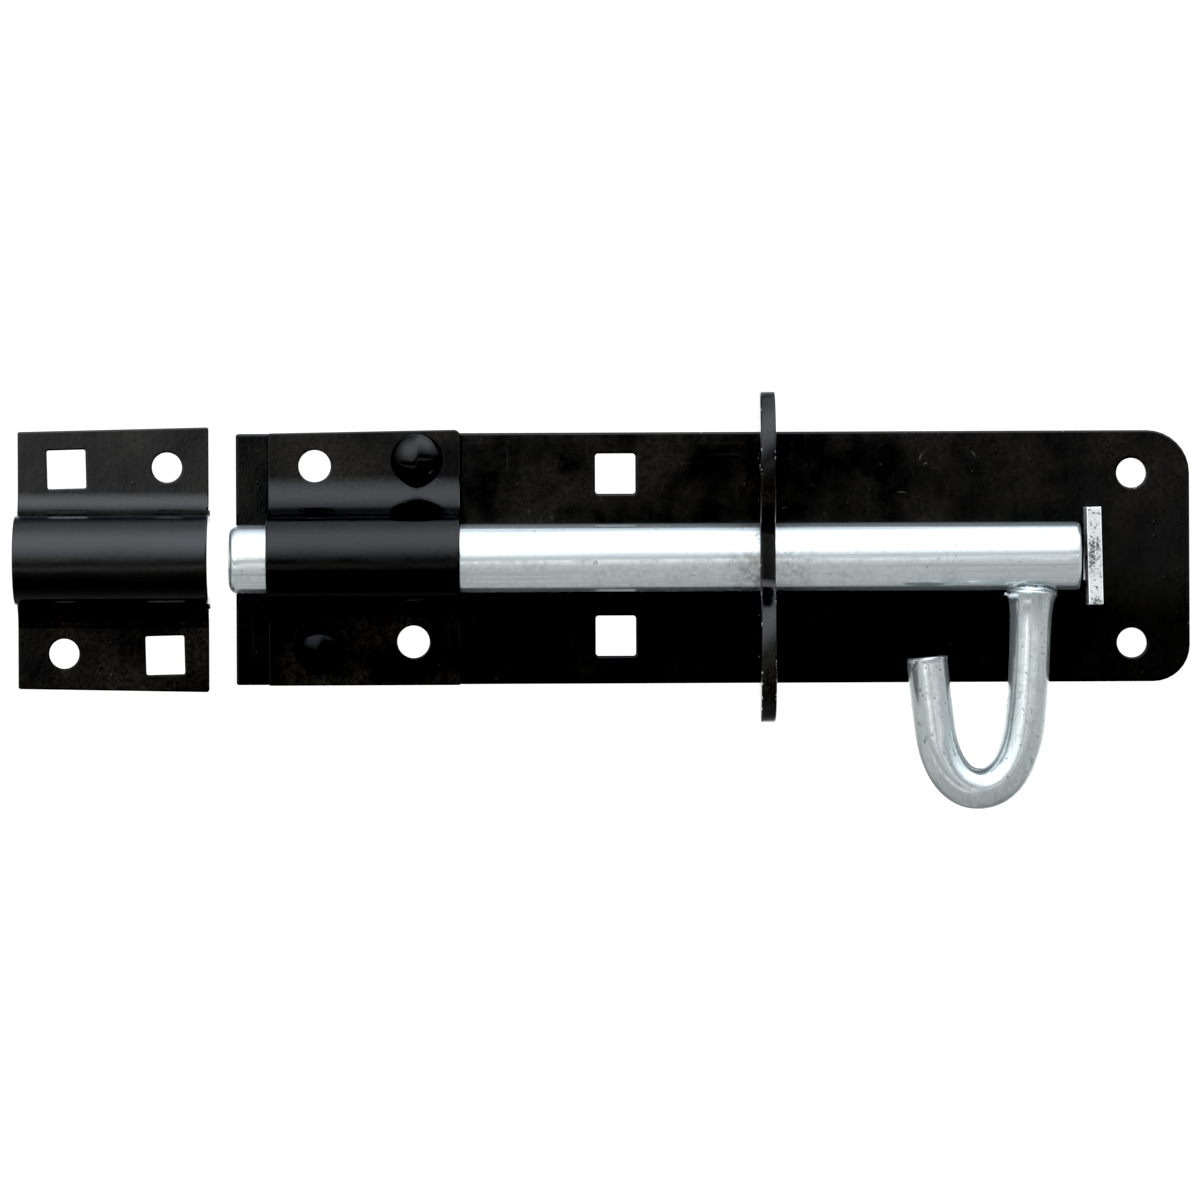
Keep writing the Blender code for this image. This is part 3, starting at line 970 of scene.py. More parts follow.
def outward(piece: Piece) -> None:
    """Weld a piece's doubled points and turn its faces outwards.

    Args:
        piece: the piece, whose mesh is closed.
    """
    shape = bmesh.new()
    shape.from_mesh(piece.data)
    bmesh.ops.remove_doubles(shape, verts=shape.verts, dist=WELD_DISTANCE)
    bmesh.ops.recalc_face_normals(shape, faces=shape.faces)
    for face in shape.faces:
        face.smooth = True
    shape.to_mesh(piece.data)
    shape.free()


# ---------------------------------------------------------------- fixed pieces


@dataclass(frozen=True)
class Backplate:
    """The flat plate that carries everything but the keeper."""

    thickness: float = 0.0030
    corners: tuple[float, ...] = (0.0090, 0.0006, 0.0006, 0.0077)
    edge: float = 0.00045
    square: float = 0.0084
    square_corner: float = 0.0006
    slot_corner: float = 0.0001
    square_holes: tuple[Point, ...] = ((-0.0204, 0.0177), (-0.0204, -0.0163))
    round_holes: tuple[Hole, ...] = (
        ((0.0878, 0.0174), 0.0031), ((0.0878, -0.0182), 0.0031), *GUIDE_HOLES)
    slots: tuple[tuple[Point, float, float], ...] = (
        ((0.0112, 0.0165), 0.00322, 0.00902), ((0.0112, -0.0165), 0.00322, 0.00902),
        ((0.0794, 0.0), 0.00322, 0.01006))

    def build(self, finish: Material) -> None:
        """Make the plate and dress it.

        Args:
            finish: its material.
        """
        low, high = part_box("backplate")
        middle = ((low.x + high.x) / 2, (low.z + high.z) / 2)
        outline = rectangle(middle, high.x - low.x, high.z - low.z, self.corners)
        holes = [rectangle(place, self.square, self.square, (self.square_corner,) * 4) for place in self.square_holes]
        holes += [circle(place, radius) for place, radius in self.round_holes]
        slots = [rectangle(place, width, height, (self.slot_corner,) * 4) for place, width, height in self.slots]
        shape = Blank(outline, tuple(holes), self.thickness, self.edge, filled=tuple(slots)).build()
        shape.transform(facing_front(-(low.y + high.y) / 2))
        dress(settle("backplate_painted", shape), finish, Body.MOUNTING, ("backplate",))


@dataclass(frozen=True)
class Bend:
    """A bend seen from the saddle's end: its middle radius, its centre and where it lies along the sheet."""

    radius: float
    side: float
    depth: float
    meeting: float
    bulge_end: float
    wall_end: float
    end: float


@dataclass(frozen=True)
class Saddle:
    """A strap pressed over the bolt from sheet: a half-round bulge between two flanges."""

    node: str
    base: float
    tunnel: float
    fillets: Point
    top: Point
    bottom: Point
    corners: tuple[float, ...]
    square_holes: tuple[Point, ...] = ()
    round_holes: tuple[Hole, ...] = ()
    square: float = 0.0081
    square_corner: float = 0.0004
    square_turn: float = 1.3
    notch: float = 0.0
    flange_relief: float = 0.0
    sheet: float = 0.0016
    edge: float = 0.00030
    wobble: float = 0.00004
    wobble_grain: float = 70.0
    bulge_steps: int = 30
    wall_steps: int = 3
    bend_steps: int = 18
    length_steps: int = 12

    @property
    def bulge(self) -> float:
        """Radius of the middle of the sheet round the bolt."""
        return self.tunnel + self.sheet / 2

    def bend(self, side: float) -> Bend:
        """The bend between the bulge and a flange.

        Args:
            side: above the bolt if it isn't negative.

        Returns:
            The bend.
        """
        radius = self.fillets[0 if side >= 0 else 1] + self.sheet / 2
        centre_depth = self.base + self.sheet / 2 + radius
        overshoot = max(centre_depth - AXIS_DEPTH, 0.0)
        centre_side = math.sqrt((self.bulge + radius) ** 2 - overshoot ** 2)
        meeting = math.atan2(overshoot, centre_side)
        bulge_end = self.bulge * (math.pi / 2 - meeting)
        wall_end = bulge_end + max(AXIS_DEPTH - centre_depth, 0.0)
        return Bend(radius, centre_side, centre_depth, meeting, bulge_end, wall_end,
                    wall_end + radius * (math.pi / 2 - meeting))

    def along(self, height: float) -> float:
        """Distance along the sheet of a height on a flange."""
        bend = self.bend(height)
        return math.copysign(bend.end + abs(height) - bend.side, height)

    def folded(self, distance: float, rise: float) -> Point:
        """Height and depth of a point of the blank once it is folded.

        Args:
            distance: its distance along the sheet from the crown.
            rise: its height above the middle of the sheet.

        Returns:
            The height and the depth.
        """
        side, run, bend = math.copysign(1.0, distance), abs(distance), self.bend(distance)
        if run <= bend.bulge_end:
            turn = run / self.bulge
            reach = self.bulge + rise
            return side * reach * math.sin(turn), AXIS_DEPTH + reach * math.cos(turn)
        if run <= bend.wall_end:
            return side * (self.bulge + rise), AXIS_DEPTH - (run - bend.bulge_end)
        if run <= bend.end:
            turn = bend.meeting + (run - bend.wall_end) / bend.radius
            reach = bend.radius - rise
            return side * (bend.side - reach * math.cos(turn)), bend.depth - reach * math.sin(turn)
        return side * (bend.side + run - bend.end), self.base + self.sheet / 2 + rise

    def outline(self, left: float, right: float) -> Loop:
        """The blank's edge, in X and distance along the sheet.

        Args:
            left: X of its left edge.
            right: X of its right edge.

        Returns:
            The closed loop.
        """
        ends = ((right - self.flange_relief, self.along(self.top[1])), (left, self.along(self.top[0])),
                (left, self.along(-self.bottom[0])), (right - self.flange_relief, self.along(-self.bottom[1])))
        loop = rounded(ends, self.corners, 6)
        if self.notch:
            for side in (-1, 1):
                bend = self.bend(side)
                fold = side * (bend.wall_end + bend.end) / 2
                bite = arc((right - self.flange_relief, fold), self.notch, 270, 90, 8)
                loop += (bite + [(right, fold + self.notch * 1.4)]) if side < 0 else (
                    [(right, fold - self.notch * 1.4)] + bite)
        return loop

    def build(self, finish: Material) -> None:
        """Cut the blank, press it to shape and dress it.

        Args:
            finish: its material.
        """
        low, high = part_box(self.node)
        corners = (self.square_corner,) * 4
        holes = [rectangle((x, self.along(height)), self.square, self.square, corners, self.square_turn)
                 for x, height in self.square_holes]
        holes += [circle((x, self.along(height)), radius) for (x, height), radius in self.round_holes]
        shape = Blank(self.outline(low.x, high.x), tuple(holes), self.sheet, self.edge).build()
        self.score(shape, low.x, high.x)
        for vertex in shape.verts:
            x, distance, rise = vertex.co
            height, depth = self.folded(distance, rise)
            sway = noise.noise(Vector((x, 0.7 * distance, self.base)) * self.wobble_grain) * self.wobble
            dent = min(sway, 0.0) if abs(distance) < self.bend(distance).bulge_end else 0.0
            vertex.co = (x, dent - depth, height)
        dress(settle(self.node + "_painted", shape), finish, Body.MOUNTING, (self.node,))

    def score(self, shape: Shape, left: float, right: float) -> None:
        """Divide the blank where it bends, finely enough to fold.

        Args:
            shape: the flat blank.
            left: X of its left edge.
            right: X of its right edge.
        """
        lines = []
        for side in (-1, 1):
            bend = self.bend(side)
            for start, end, steps in ((0.0, bend.bulge_end, self.bulge_steps),
                                      (bend.bulge_end, bend.wall_end, self.wall_steps),
                                      (bend.wall_end, bend.end, self.bend_steps)):
                lines += [side * (start + (end - start) * step / steps) for step in range(steps + 1)]
        for line in sorted({round(line, 7) for line in lines}):
            bmesh.ops.bisect_plane(shape, geom=shape.verts[:] + shape.edges[:] + shape.faces[:],
                                   plane_co=(0, line, 0), plane_no=(0, 1, 0), dist=WELD_DISTANCE)
        for step in range(1, self.length_steps):
            x = left + (right - left) * step / self.length_steps
            bmesh.ops.bisect_plane(shape, geom=shape.verts[:] + shape.edges[:] + shape.faces[:],
                                   plane_co=(x, 0, 0), plane_no=(1, 0, 0), dist=WELD_DISTANCE)


@dataclass(frozen=True)
class Rivets:
    """The two domed rivets through the front guide and the backplate."""

    head_radius: float = 0.0054
    head_height: float = 0.0042
    shank_radius: float = 0.00275
    seat: float = 0.0049
    back: float = 0.0001
    hammering: float = 0.00005
    steps_round: int = 72
    steps_down: int = 48
    # Of the steps down: how many belong to the head, and how the rest are shared by the head's underside,
    # the shank's side and its end.
    head_share: float = 0.72
    below_shares: tuple[Band, ...] = ((0.0, 0.35), (0.35, 0.75), (0.75, 1.0))
    head_crowding: float = 0.85
    dome_fullness: float = 0.92
    dents: Lumps = Lumps(5, 420.0, 1.0, 0.9)

    def tree(self) -> Tree:
        """The rivet's tree: a head and shank turned about an axis, put on every point.

        Returns:
            The geometry tree, with named inputs for the rivet's sizes.
        """
        graph, given = start_tree("domed_rivets", ("Head Radius", "Head Height", "Shank Radius", "Shank Length",
                                                   "Hammering"))
        grid = graph.add("GeometryNodeMeshGrid", {"Size X": 1.0, "Size Y": 1.0, "Vertices X": self.steps_round + 1,
                                                  "Vertices Y": self.steps_down + 1}).outputs["Mesh"]
        at = graph.add("ShaderNodeSeparateXYZ", {0: graph.add("GeometryNodeInputPosition").outputs[0]}).outputs
        turn = graph.times(graph.plus(at["X"], 0.5), 2 * math.pi)
        down = graph.plus(at["Y"], 0.5)
        swing = graph.times(graph.math("POWER", graph.band(down, 0.0, self.head_share), self.head_crowding),
                            math.pi / 2)
        below = graph.band(down, self.head_share, 1.0)
        to_shank, to_back, to_axis = (graph.band(below, *share) for share in self.below_shares)
        head_across = graph.times(given["Head Radius"], graph.math("SINE", swing))
        step_in = graph.times(graph.minus(given["Head Radius"], given["Shank Radius"]), to_shank)
        across = graph.minus(graph.minus(head_across, step_in), graph.times(given["Shank Radius"], to_axis))
        dome = graph.math("POWER", graph.larger(graph.math("COSINE", swing), 0.0), self.dome_fullness)
        rise = graph.minus(graph.times(given["Head Height"], dome), graph.times(given["Shank Length"], to_back))
        spot = graph.add("ShaderNodeCombineXYZ", {
            "X": graph.times(across, graph.math("COSINE", turn)),
            "Y": graph.times(rise, -1.0),
            "Z": graph.times(across, graph.math("SINE", turn))}).outputs[0]
        revolved = graph.add("GeometryNodeSetPosition", {"Geometry": grid, "Position": spot}).outputs[0]
        closed = graph.add("GeometryNodeMergeByDistance", {"Geometry": revolved, "Distance": 0.00001}).outputs[0]
        on_points = graph.add("GeometryNodeInstanceOnPoints", {"Points": given["Geometry"], "Instance": closed})
        real = graph.add("GeometryNodeRealizeInstances", {"Geometry": on_points.outputs[0]}).outputs[0]
        return end_tree(graph, real, given["Finish"], self.dents, given["Hammering"])

    def build(self, finish: Material) -> None:
        """Put a rivet on each place and dress them.

        Args:
            finish: their material.
        """
        spots = bmesh.new()
        for x, height in RIVET_PLACES:
            spots.verts.new((x, -self.seat, height))
        host = linked("rivet_places", spots)
        sizes = {"Head Radius": self.head_radius, "Head Height": self.head_height, "Finish": finish,
                 "Shank Radius": self.shank_radius, "Shank Length": self.seat - self.back,
                 "Hammering": self.hammering}
        apply_tree(host, self.tree(), sizes)
        piece = plain(host, "rivets_painted")
        outward(piece)
        dress(piece, finish, Body.MOUNTING, ("rivet_upper", "rivet_lower"))


@dataclass(frozen=True)
class Staple:
    """The standing plate that guides the bolt, with an ear and an eye for a padlock at each end."""

    thickness: float = 0.0032
    arch: float = 0.0075
    base: float = 0.0033
    valley_depth: float = 0.0215
    valley_fillet: float = 0.0035
    ear_height: float = 0.0200
    ear_radius: float = 0.01439
    ear_depth: float = 0.0166
    eye_radius: float = 0.0050
    eye_depth: float = 0.0210
    tenon_height: float = 0.0165
    tenon_length: float = 0.0090
    back: float = 0.0002
    edge: float = 0.00040

    def half_outline(self) -> Loop:
        """Height and depth round the upper half, from the valley to the bolt's arch.

        Returns:
            The points.
        """
        reach = self.ear_radius + self.valley_fillet
        rise = self.valley_depth + self.valley_fillet - self.ear_depth
        valley = self.ear_height - math.sqrt(reach ** 2 - rise ** 2)
        meeting = math.degrees(math.acos((valley - self.ear_height) / reach))
        foot = -math.degrees(math.asin((self.ear_depth - self.base) / self.ear_radius))
        outline = arc((valley, self.valley_depth + self.valley_fillet), self.valley_fillet, 270, 180 + meeting, 16)
        outline += arc((self.ear_height, self.ear_depth), self.ear_radius, meeting, foot, 96)[1:]
        high, low = (self.tenon_height + side * self.tenon_length / 2 for side in (1, -1))
        outline += [(high, self.base), (high, self.back), (low, self.back), (low, self.base),
                    (self.arch, self.base)]
        return outline + arc((0, AXIS_DEPTH), self.arch, 0, 90, 24)

    def build(self, finish: Material) -> None:
        """Make the staple and dress it.

        Args:
            finish: its material.
        """
        low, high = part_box("staple")
        upper = self.half_outline()
        lower = [(-height, depth) for height, depth in reversed(upper[1:-1])]
        eyes = tuple(circle((side * self.ear_height, self.eye_depth), self.eye_radius) for side in (1, -1))
        shape = Blank(upper + lower, eyes, self.thickness, self.edge).build()
        shape.transform(standing((low.x + high.x) / 2))
        dress(settle("staple_painted", shape), finish, Body.MOUNTING, ("staple",))


@dataclass(frozen=True)
class EndStop:
    """The tab behind the bolt's rear end, with a tenon through the backplate."""

    thickness: float = 0.0030
    half_width: float = 0.0102
    base: float = 0.0033
    depth: float = 0.0155
    tenon: float = 0.0050
    back: float = 0.0002
    twist: float = math.radians(-1.2)
    corner: float = 0.0004
    edge: float = 0.00022

    def build(self, finish: Material) -> None:
        """Make the tab and dress it.

        Args:
            finish: its material.
        """
        low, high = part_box("end_stop")
        wide, corner = self.half_width, self.corner
        outline = [(wide, self.base)]
        outline += arc((wide - corner, self.depth - corner), corner, 0, 90, 4)
        outline += arc((corner - wide, self.depth - corner), corner, 90, 180, 4)
        outline += [(-wide, self.base), (-self.tenon, self.base), (-self.tenon, self.back),
                    (self.tenon, self.back), (self.tenon, self.base)]
        shape = Blank(outline, (), self.thickness, self.edge).build()
        shape.transform(standing((low.x + high.x) / 2, self.twist))
        dress(settle("end_stop_plated", shape), finish, Body.MOUNTING, ("end_stop",))


# ---------------------------------------------------------------- moving pieces


@dataclass(frozen=True)
class RoundBolt:
    """The drawn round bar that slides, its two ends eased."""

    tip_edge: float = 0.0019
    rear_edge: float = 0.0011
    steps_round: int = 144
    steps_along: int = 90
    edge_steps: int = 8
    end_rings: Point = (0.25, 0.5)
    drawn: float = 0.000012
    # How finely the drawing lines repeat along the bar and round it.
    drawn_grain: Point = (25.0, 9.0)

    def build(self, finish: Material) -> None:
        """Turn the bar and dress it.

        Args:
            finish: its material.
        """
        low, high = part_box("bolt")
        radius, depth = (high.z - low.z) / 2, -(low.y + high.y) / 2
        profile = [(low.x, radius * share) for share in self.end_rings]
        profile += [(low.x + self.tip_edge - a, radius - self.tip_edge + b)
                    for a, b in arc((0, 0), self.tip_edge, 0, 90, self.edge_steps)]
        start, end = low.x + self.tip_edge, high.x - self.rear_edge
        profile += [(start + (end - start) * step / self.steps_along, radius) for step in range(1, self.steps_along)]
        profile += [(end + a, radius - self.rear_edge + b)
                    for a, b in arc((0, 0), self.rear_edge, 90, 0, self.edge_steps)]
        profile += [(high.x, radius * share) for share in reversed(self.end_rings)]
        shape = bmesh.new()
        rings = []
        lengthways, round_it = self.drawn_grain
        for x, reach in profile:
            ring = []
            for step in range(self.steps_round):
                turn = 2 * math.pi * step / self.steps_round
                spot = Vector((x * lengthways, round_it * math.cos(turn), round_it * math.sin(turn)))
                size = reach - self.drawn * (0.5 + 0.5 * noise.noise(spot))
                ring.append(shape.verts.new((x, -depth + size * math.cos(turn), size * math.sin(turn))))
            rings.append(ring)
        for before, after in zip(rings, rings[1:]):
            for index in range(self.steps_round):
                shape.faces.new((before[index - 1], before[index], after[index], after[index - 1]))
        for ring, x in ((rings[0], low.x), (rings[-1], high.x)):
            hub = shape.verts.new((x, -depth, 0))
            for index in range(self.steps_round):
                shape.faces.new((hub, ring[index - 1], ring[index]))
        bmesh.ops.recalc_face_normals(shape, faces=shape.faces)
        dress(settle("bolt_plated", shape), finish, Body.BOLT, ("bolt",))


def sweep_tree(name: str, steps_round: int, seed: int) -> Tree:
    """A tree that sweeps a round section along a path, flared and necked at its start, and uneven.

    Args:
        name: the tree's name.
        steps_round: how many sides the section has.
        seed: where the unevenness is taken from.

    Returns:
        The geometry tree, with named inputs for its sizes.
    """
    graph, given = start_tree(name, ("Radius", "Step", "Flare", "Flare Length", "Neck", "Neck Length",
                                     "Unevenness", "Grain"))
    path = graph.add("GeometryNodeMeshToCurve", {"Mesh": given["Geometry"]}).outputs[0]
    even = graph.add("GeometryNodeResampleCurve", {"Curve": path, "Length": given["Step"]}, mode="LENGTH").outputs[0]
    length = graph.add("GeometryNodeSplineParameter").outputs["Length"]
    fade = graph.math("EXPONENT", graph.math("DIVIDE", length, graph.times(given["Flare Length"], -1.0)))
    share = graph.math("DIVIDE", length, given["Neck Length"])
    pinch = graph.math("EXPONENT", graph.times(graph.times(share, share), -1.0))
    necked = graph.minus(graph.times(given["Flare"], fade), graph.times(given["Neck"], pinch))
    ring = graph.add("GeometryNodeCurvePrimitiveCircle", {"Resolution": steps_round, "Radius": given["Radius"]})
    swept = graph.add("GeometryNodeCurveToMesh", {"Curve": even, "Profile Curve": ring.outputs[0],
                                                  "Scale": graph.plus(necked, 1.0), "Fill Caps": True}).outputs[0]
    return end_tree(graph, swept, given["Finish"], Lumps(seed, given["Grain"], 2.0, 0.5), given["Unevenness"])


def path_host(name: str, points: list[Vector], closed: bool) -> Piece:
    """A line of edges for a tree to sweep along.

    Args:
        name: the object's name.
        points: the line's points.
        closed: whether its end joins its start.

    Returns:
        The object.
    """
    line = bmesh.new()
    spots = [line.verts.new(point) for point in points]
    pairs = zip(spots, spots[1:] + spots[:1]) if closed else zip(spots, spots[1:])
    for pair in pairs:
        line.edges.new(pair)
    return linked(name, line)


@dataclass(frozen=True)
class HookHandle:
    """The rod bent into a hook and welded under the bolt, its free end sheared."""

    radius: float = 0.0043
    # How far inside its radius the rod is drawn, to leave room for its unevenness.
    skin: float = 0.00001
    root_x: float = 0.0666
    bolt_radius: float = 0.00715
    # For each point X and Z, the way the rod runs in degrees from +X, and its arms' lengths.
    points: tuple[tuple[Point, float, float, float], ...] = (
        ((0.0665, -0.0066), -93.8, 0.0, 0.0095),
        ((0.0646, -0.0366), -99.0, 0.0090, 0.0066),
        ((0.0553, -0.04855), 180.0, 0.0052, 0.0052),
        ((0.0462, -0.0366), 98.0, 0.0064, 0.0050),
        ((0.0445, -0.0210), 95.0, 0.0050, 0.0))
    flare: float = 0.44
    flare_length: float = 0.0022
    neck: float = 0.34
    neck_length: float = 0.00062
    rod_step: float = 0.0003
    rod_unevenness: float = 0.00006
    rod_grain: float = 260.0
    end_round: float = 0.00055
    end_zone: float = 0.006
    burr: float = 0.00022
    burr_length: float = 0.0012
    burr_side: float = -0.001
    nick: float = 0.00045
    nick_radius: float = 0.0014
    # How far the nick lies back from the end, across from the middle and in front of it, and which way it is pressed.
    nick_place: Triple = (0.0013, 0.0032, 0.0028)
    nick_press: Point = (0.8, 0.6)
    # Half widths of the weld's collar in X and Y, and its heights at the front and at the sides.
    collar: Point = (0.0042, 0.0037)
    collar_heights: Point = (-0.0070, -0.0078)
    collar_steps: int = 96
    bead_radius: float = 0.00052
    bead_unevenness: float = 0.0046
    bead_grain: float = 620.0
    flash_radius: float = 0.00034
    flash_unevenness: float = 0.0022
    flash_grain: float = 800.0
    weld_step: float = 0.0002
    tail_length: float = 0.0012
    seat_gap: float = 0.00002
    # The thin flash squeezed out to one side: offsets from the root in X, towards the front, and in Z from the axis.
    flash: tuple[Triple, ...] = (
        (-0.0028, 0.0036, -0.0080), (-0.0040, 0.0037, -0.0083),
        (-0.0050, 0.0035, -0.0082), (-0.0060, 0.0032, -0.0079))

    def rod_line(self) -> list[Vector]:
        """Points along the middle of the rod, from its root to its free end.

        Returns:
            The points.
        """
        line: list[Vector] = []
        for (place, heading, _, after), (next_place, next_heading, before, _) in zip(self.points, self.points[1:]):
            start, end = (Vector((spot[0], -AXIS_DEPTH, spot[1])) for spot in (place, next_place))
            leave, arrive = (Vector((math.cos(math.radians(turn)), 0, math.sin(math.radians(turn))))
                             for turn in (heading, next_heading))
            piece = interpolate_bezier(start, start + leave * after, end - arrive * before, end, 33)
            line += piece[bool(line):]
        return line

    def shear_end(self, piece: Piece) -> None:
        """Round the free end's rim, raise its burr and press its nick.

        Args:
            piece: the swept rod.
        """
        (x, height), heading, _, _ = self.points[-1]
        end = Vector((x, -AXIS_DEPTH, height))
        along = Vector((math.cos(math.radians(heading)), 0, math.sin(math.radians(heading))))
        across = Vector((along.z, 0, -along.x))
        nick_back, nick_side, nick_front = self.nick_place
        struck = end - along * nick_back - across * nick_side + Vector((0, -nick_front, 0))
        blow = (across * self.nick_press[0] + Vector((0, self.nick_press[1], 0))) * self.nick
        shape = bmesh.new()
        shape.from_mesh(piece.data)
        cap = min((face for face in shape.faces if len(face.verts) > 8), key=lambda face: face.calc_center_median().x)
        bmesh.ops.bevel(shape, geom=list(cap.edges) + list(cap.verts), offset=self.end_round, segments=4, profile=0.5,
                        affect="EDGES")
        for vertex in shape.verts:
            back = (end - vertex.co).dot(along)
            if back > self.end_zone or (vertex.co - end).length > self.end_zone + self.radius:
                continue
            near = max(0.0, 1.0 - back / self.burr_length)
            if (vertex.co - end).dot(across) > self.burr_side:
                vertex.co += (vertex.co - end + along * back).normalized() * self.burr * near
            press = max(0.0, 1.0 - (vertex.co - struck).length / self.nick_radius)
            vertex.co += blow * press * press
        bmesh.ops.recalc_face_normals(shape, faces=shape.faces)
        shape.to_mesh(piece.data)
        shape.free()

    def seat_root(self, piece: Piece, name: str) -> Piece:
        """Cut the bolt's round out of a piece at the root.

        Args:
            piece: the piece that meets the bolt.
            name: the finished piece's name.

        Returns:
            The cut piece.
        """
        shape = bmesh.new()
        radius = self.bolt_radius + self.seat_gap
        bmesh.ops.create_cone(shape, cap_ends=True, segments=144, depth=0.04, radius1=radius, radius2=radius)
        shape.transform(Matrix.Translation((self.root_x, -AXIS_DEPTH, 0))
                        @ Matrix.Rotation(math.radians(90), 4, "Y"))
        cutter = linked("root_seat", shape)
        boolean = piece.modifiers.new("seat", "BOOLEAN")
        boolean.operation = "DIFFERENCE"
        boolean.object = cutter
        seated = plain(piece, name)
        bpy.data.objects.remove(cutter, do_unlink=True)
        return seated

    def build_rod(self, finish: Material) -> None:
        """Bend the rod, shear its end, seat its root and dress it.

        Args:
            finish: its material.
        """
        host = path_host("rod_path", self.rod_line(), closed=False)
        sizes = {"Radius": self.radius - self.skin, "Step": self.rod_step, "Flare": self.flare,
                 "Flare Length": self.flare_length, "Neck": self.neck, "Neck Length": self.neck_length,
                 "Unevenness": self.rod_unevenness, "Grain": self.rod_grain, "Finish": finish}
        apply_tree(host, sweep_tree("bent_rod", 72, 3), sizes)
        rod = plain(host, "rod_swept")
        outward(rod)
        self.shear_end(rod)
        seated = self.seat_root(rod, "handle_plated")
        dress(seated, finish, Body.HANDLE, ("handle",))

    def build_weld(self, finish: Material) -> None:
        """Run the weld's lumpy collar round the root, draw out its flash and dress both.

        Args:
            finish: their material.
        """
        (wide, deep), (front, side) = self.collar, self.collar_heights
        turns = [2 * math.pi * step / self.collar_steps for step in range(self.collar_steps)]
        ring = [(wide * math.cos(turn), deep * math.sin(turn), side + (front - side) * math.sin(turn) ** 2)
                for turn in turns]
        bead = self.run_bead("collar", ring, sweep_tree("weld_collar", 20, 11), {
            "Radius": self.bead_radius, "Flare": 0.0, "Unevenness": self.bead_unevenness, "Grain": self.bead_grain,
            "Finish": finish}, closed=True)
        collar = self.seat_root(bead, "handle_weld")
        outward(collar)
        dress(collar, finish, Body.HANDLE)
        flash = self.run_bead("handle_flash", self.flash, sweep_tree("weld_flash", 12, 7), {
            "Radius": self.flash_radius, "Flare": 1.0, "Unevenness": self.flash_unevenness,
            "Grain": self.flash_grain, "Finish": finish}, closed=False)
        dress(flash, finish, Body.HANDLE)

    def run_bead(self, name: str, offsets: list[Triple], tree: Tree, sizes: dict[str, object],
                 closed: bool) -> Piece:
        """Sweep a bead of weld along a line near the root.

        Args:
            name: the bead's name.
            offsets: the line's points, from the root in X, towards the front, and in Z from the axis.
            tree: the tree that sweeps it.
            sizes: the bead's own sizes.
            closed: whether its end joins its start.

        Returns:
            The bead.
        """
        line = [Vector((self.root_x + across, -AXIS_DEPTH - forward, height)) for across, forward, height in offsets]
        host = path_host(name + "_path", line, closed)
        shared = {"Step": self.weld_step, "Flare Length": self.tail_length, "Neck": 0.0, "Neck Length": 1.0}
        apply_tree(host, tree, {**shared, **sizes})
        bead = plain(host, name)
        outward(bead)
        return bead


# ---------------------------------------------------------------- studio


@dataclass(frozen=True)
class Softbox:
    """A flat light that faces the object."""

    name: str
    place: Triple
    aim: Triple
    size: Point
    radiance: float

    def build(self) -> None:
        """Hang the light."""
        data = bpy.data.lights.new(self.name, "AREA")
        data.shape = "RECTANGLE"
        data.size, data.size_y = self.size
        data.energy = self.radiance * math.pi * self.size[0] * self.size[1]
        lamp = bpy.data.objects.new(self.name, data)
        lamp.location = self.place
        lamp.rotation_mode = "QUATERNION"
        lamp.rotation_quaternion = (Vector(self.aim) - Vector(self.place)).to_track_quat("-Z", "Z")
        lamp.visible_camera = False
        bpy.context.scene.collection.objects.link(lamp)


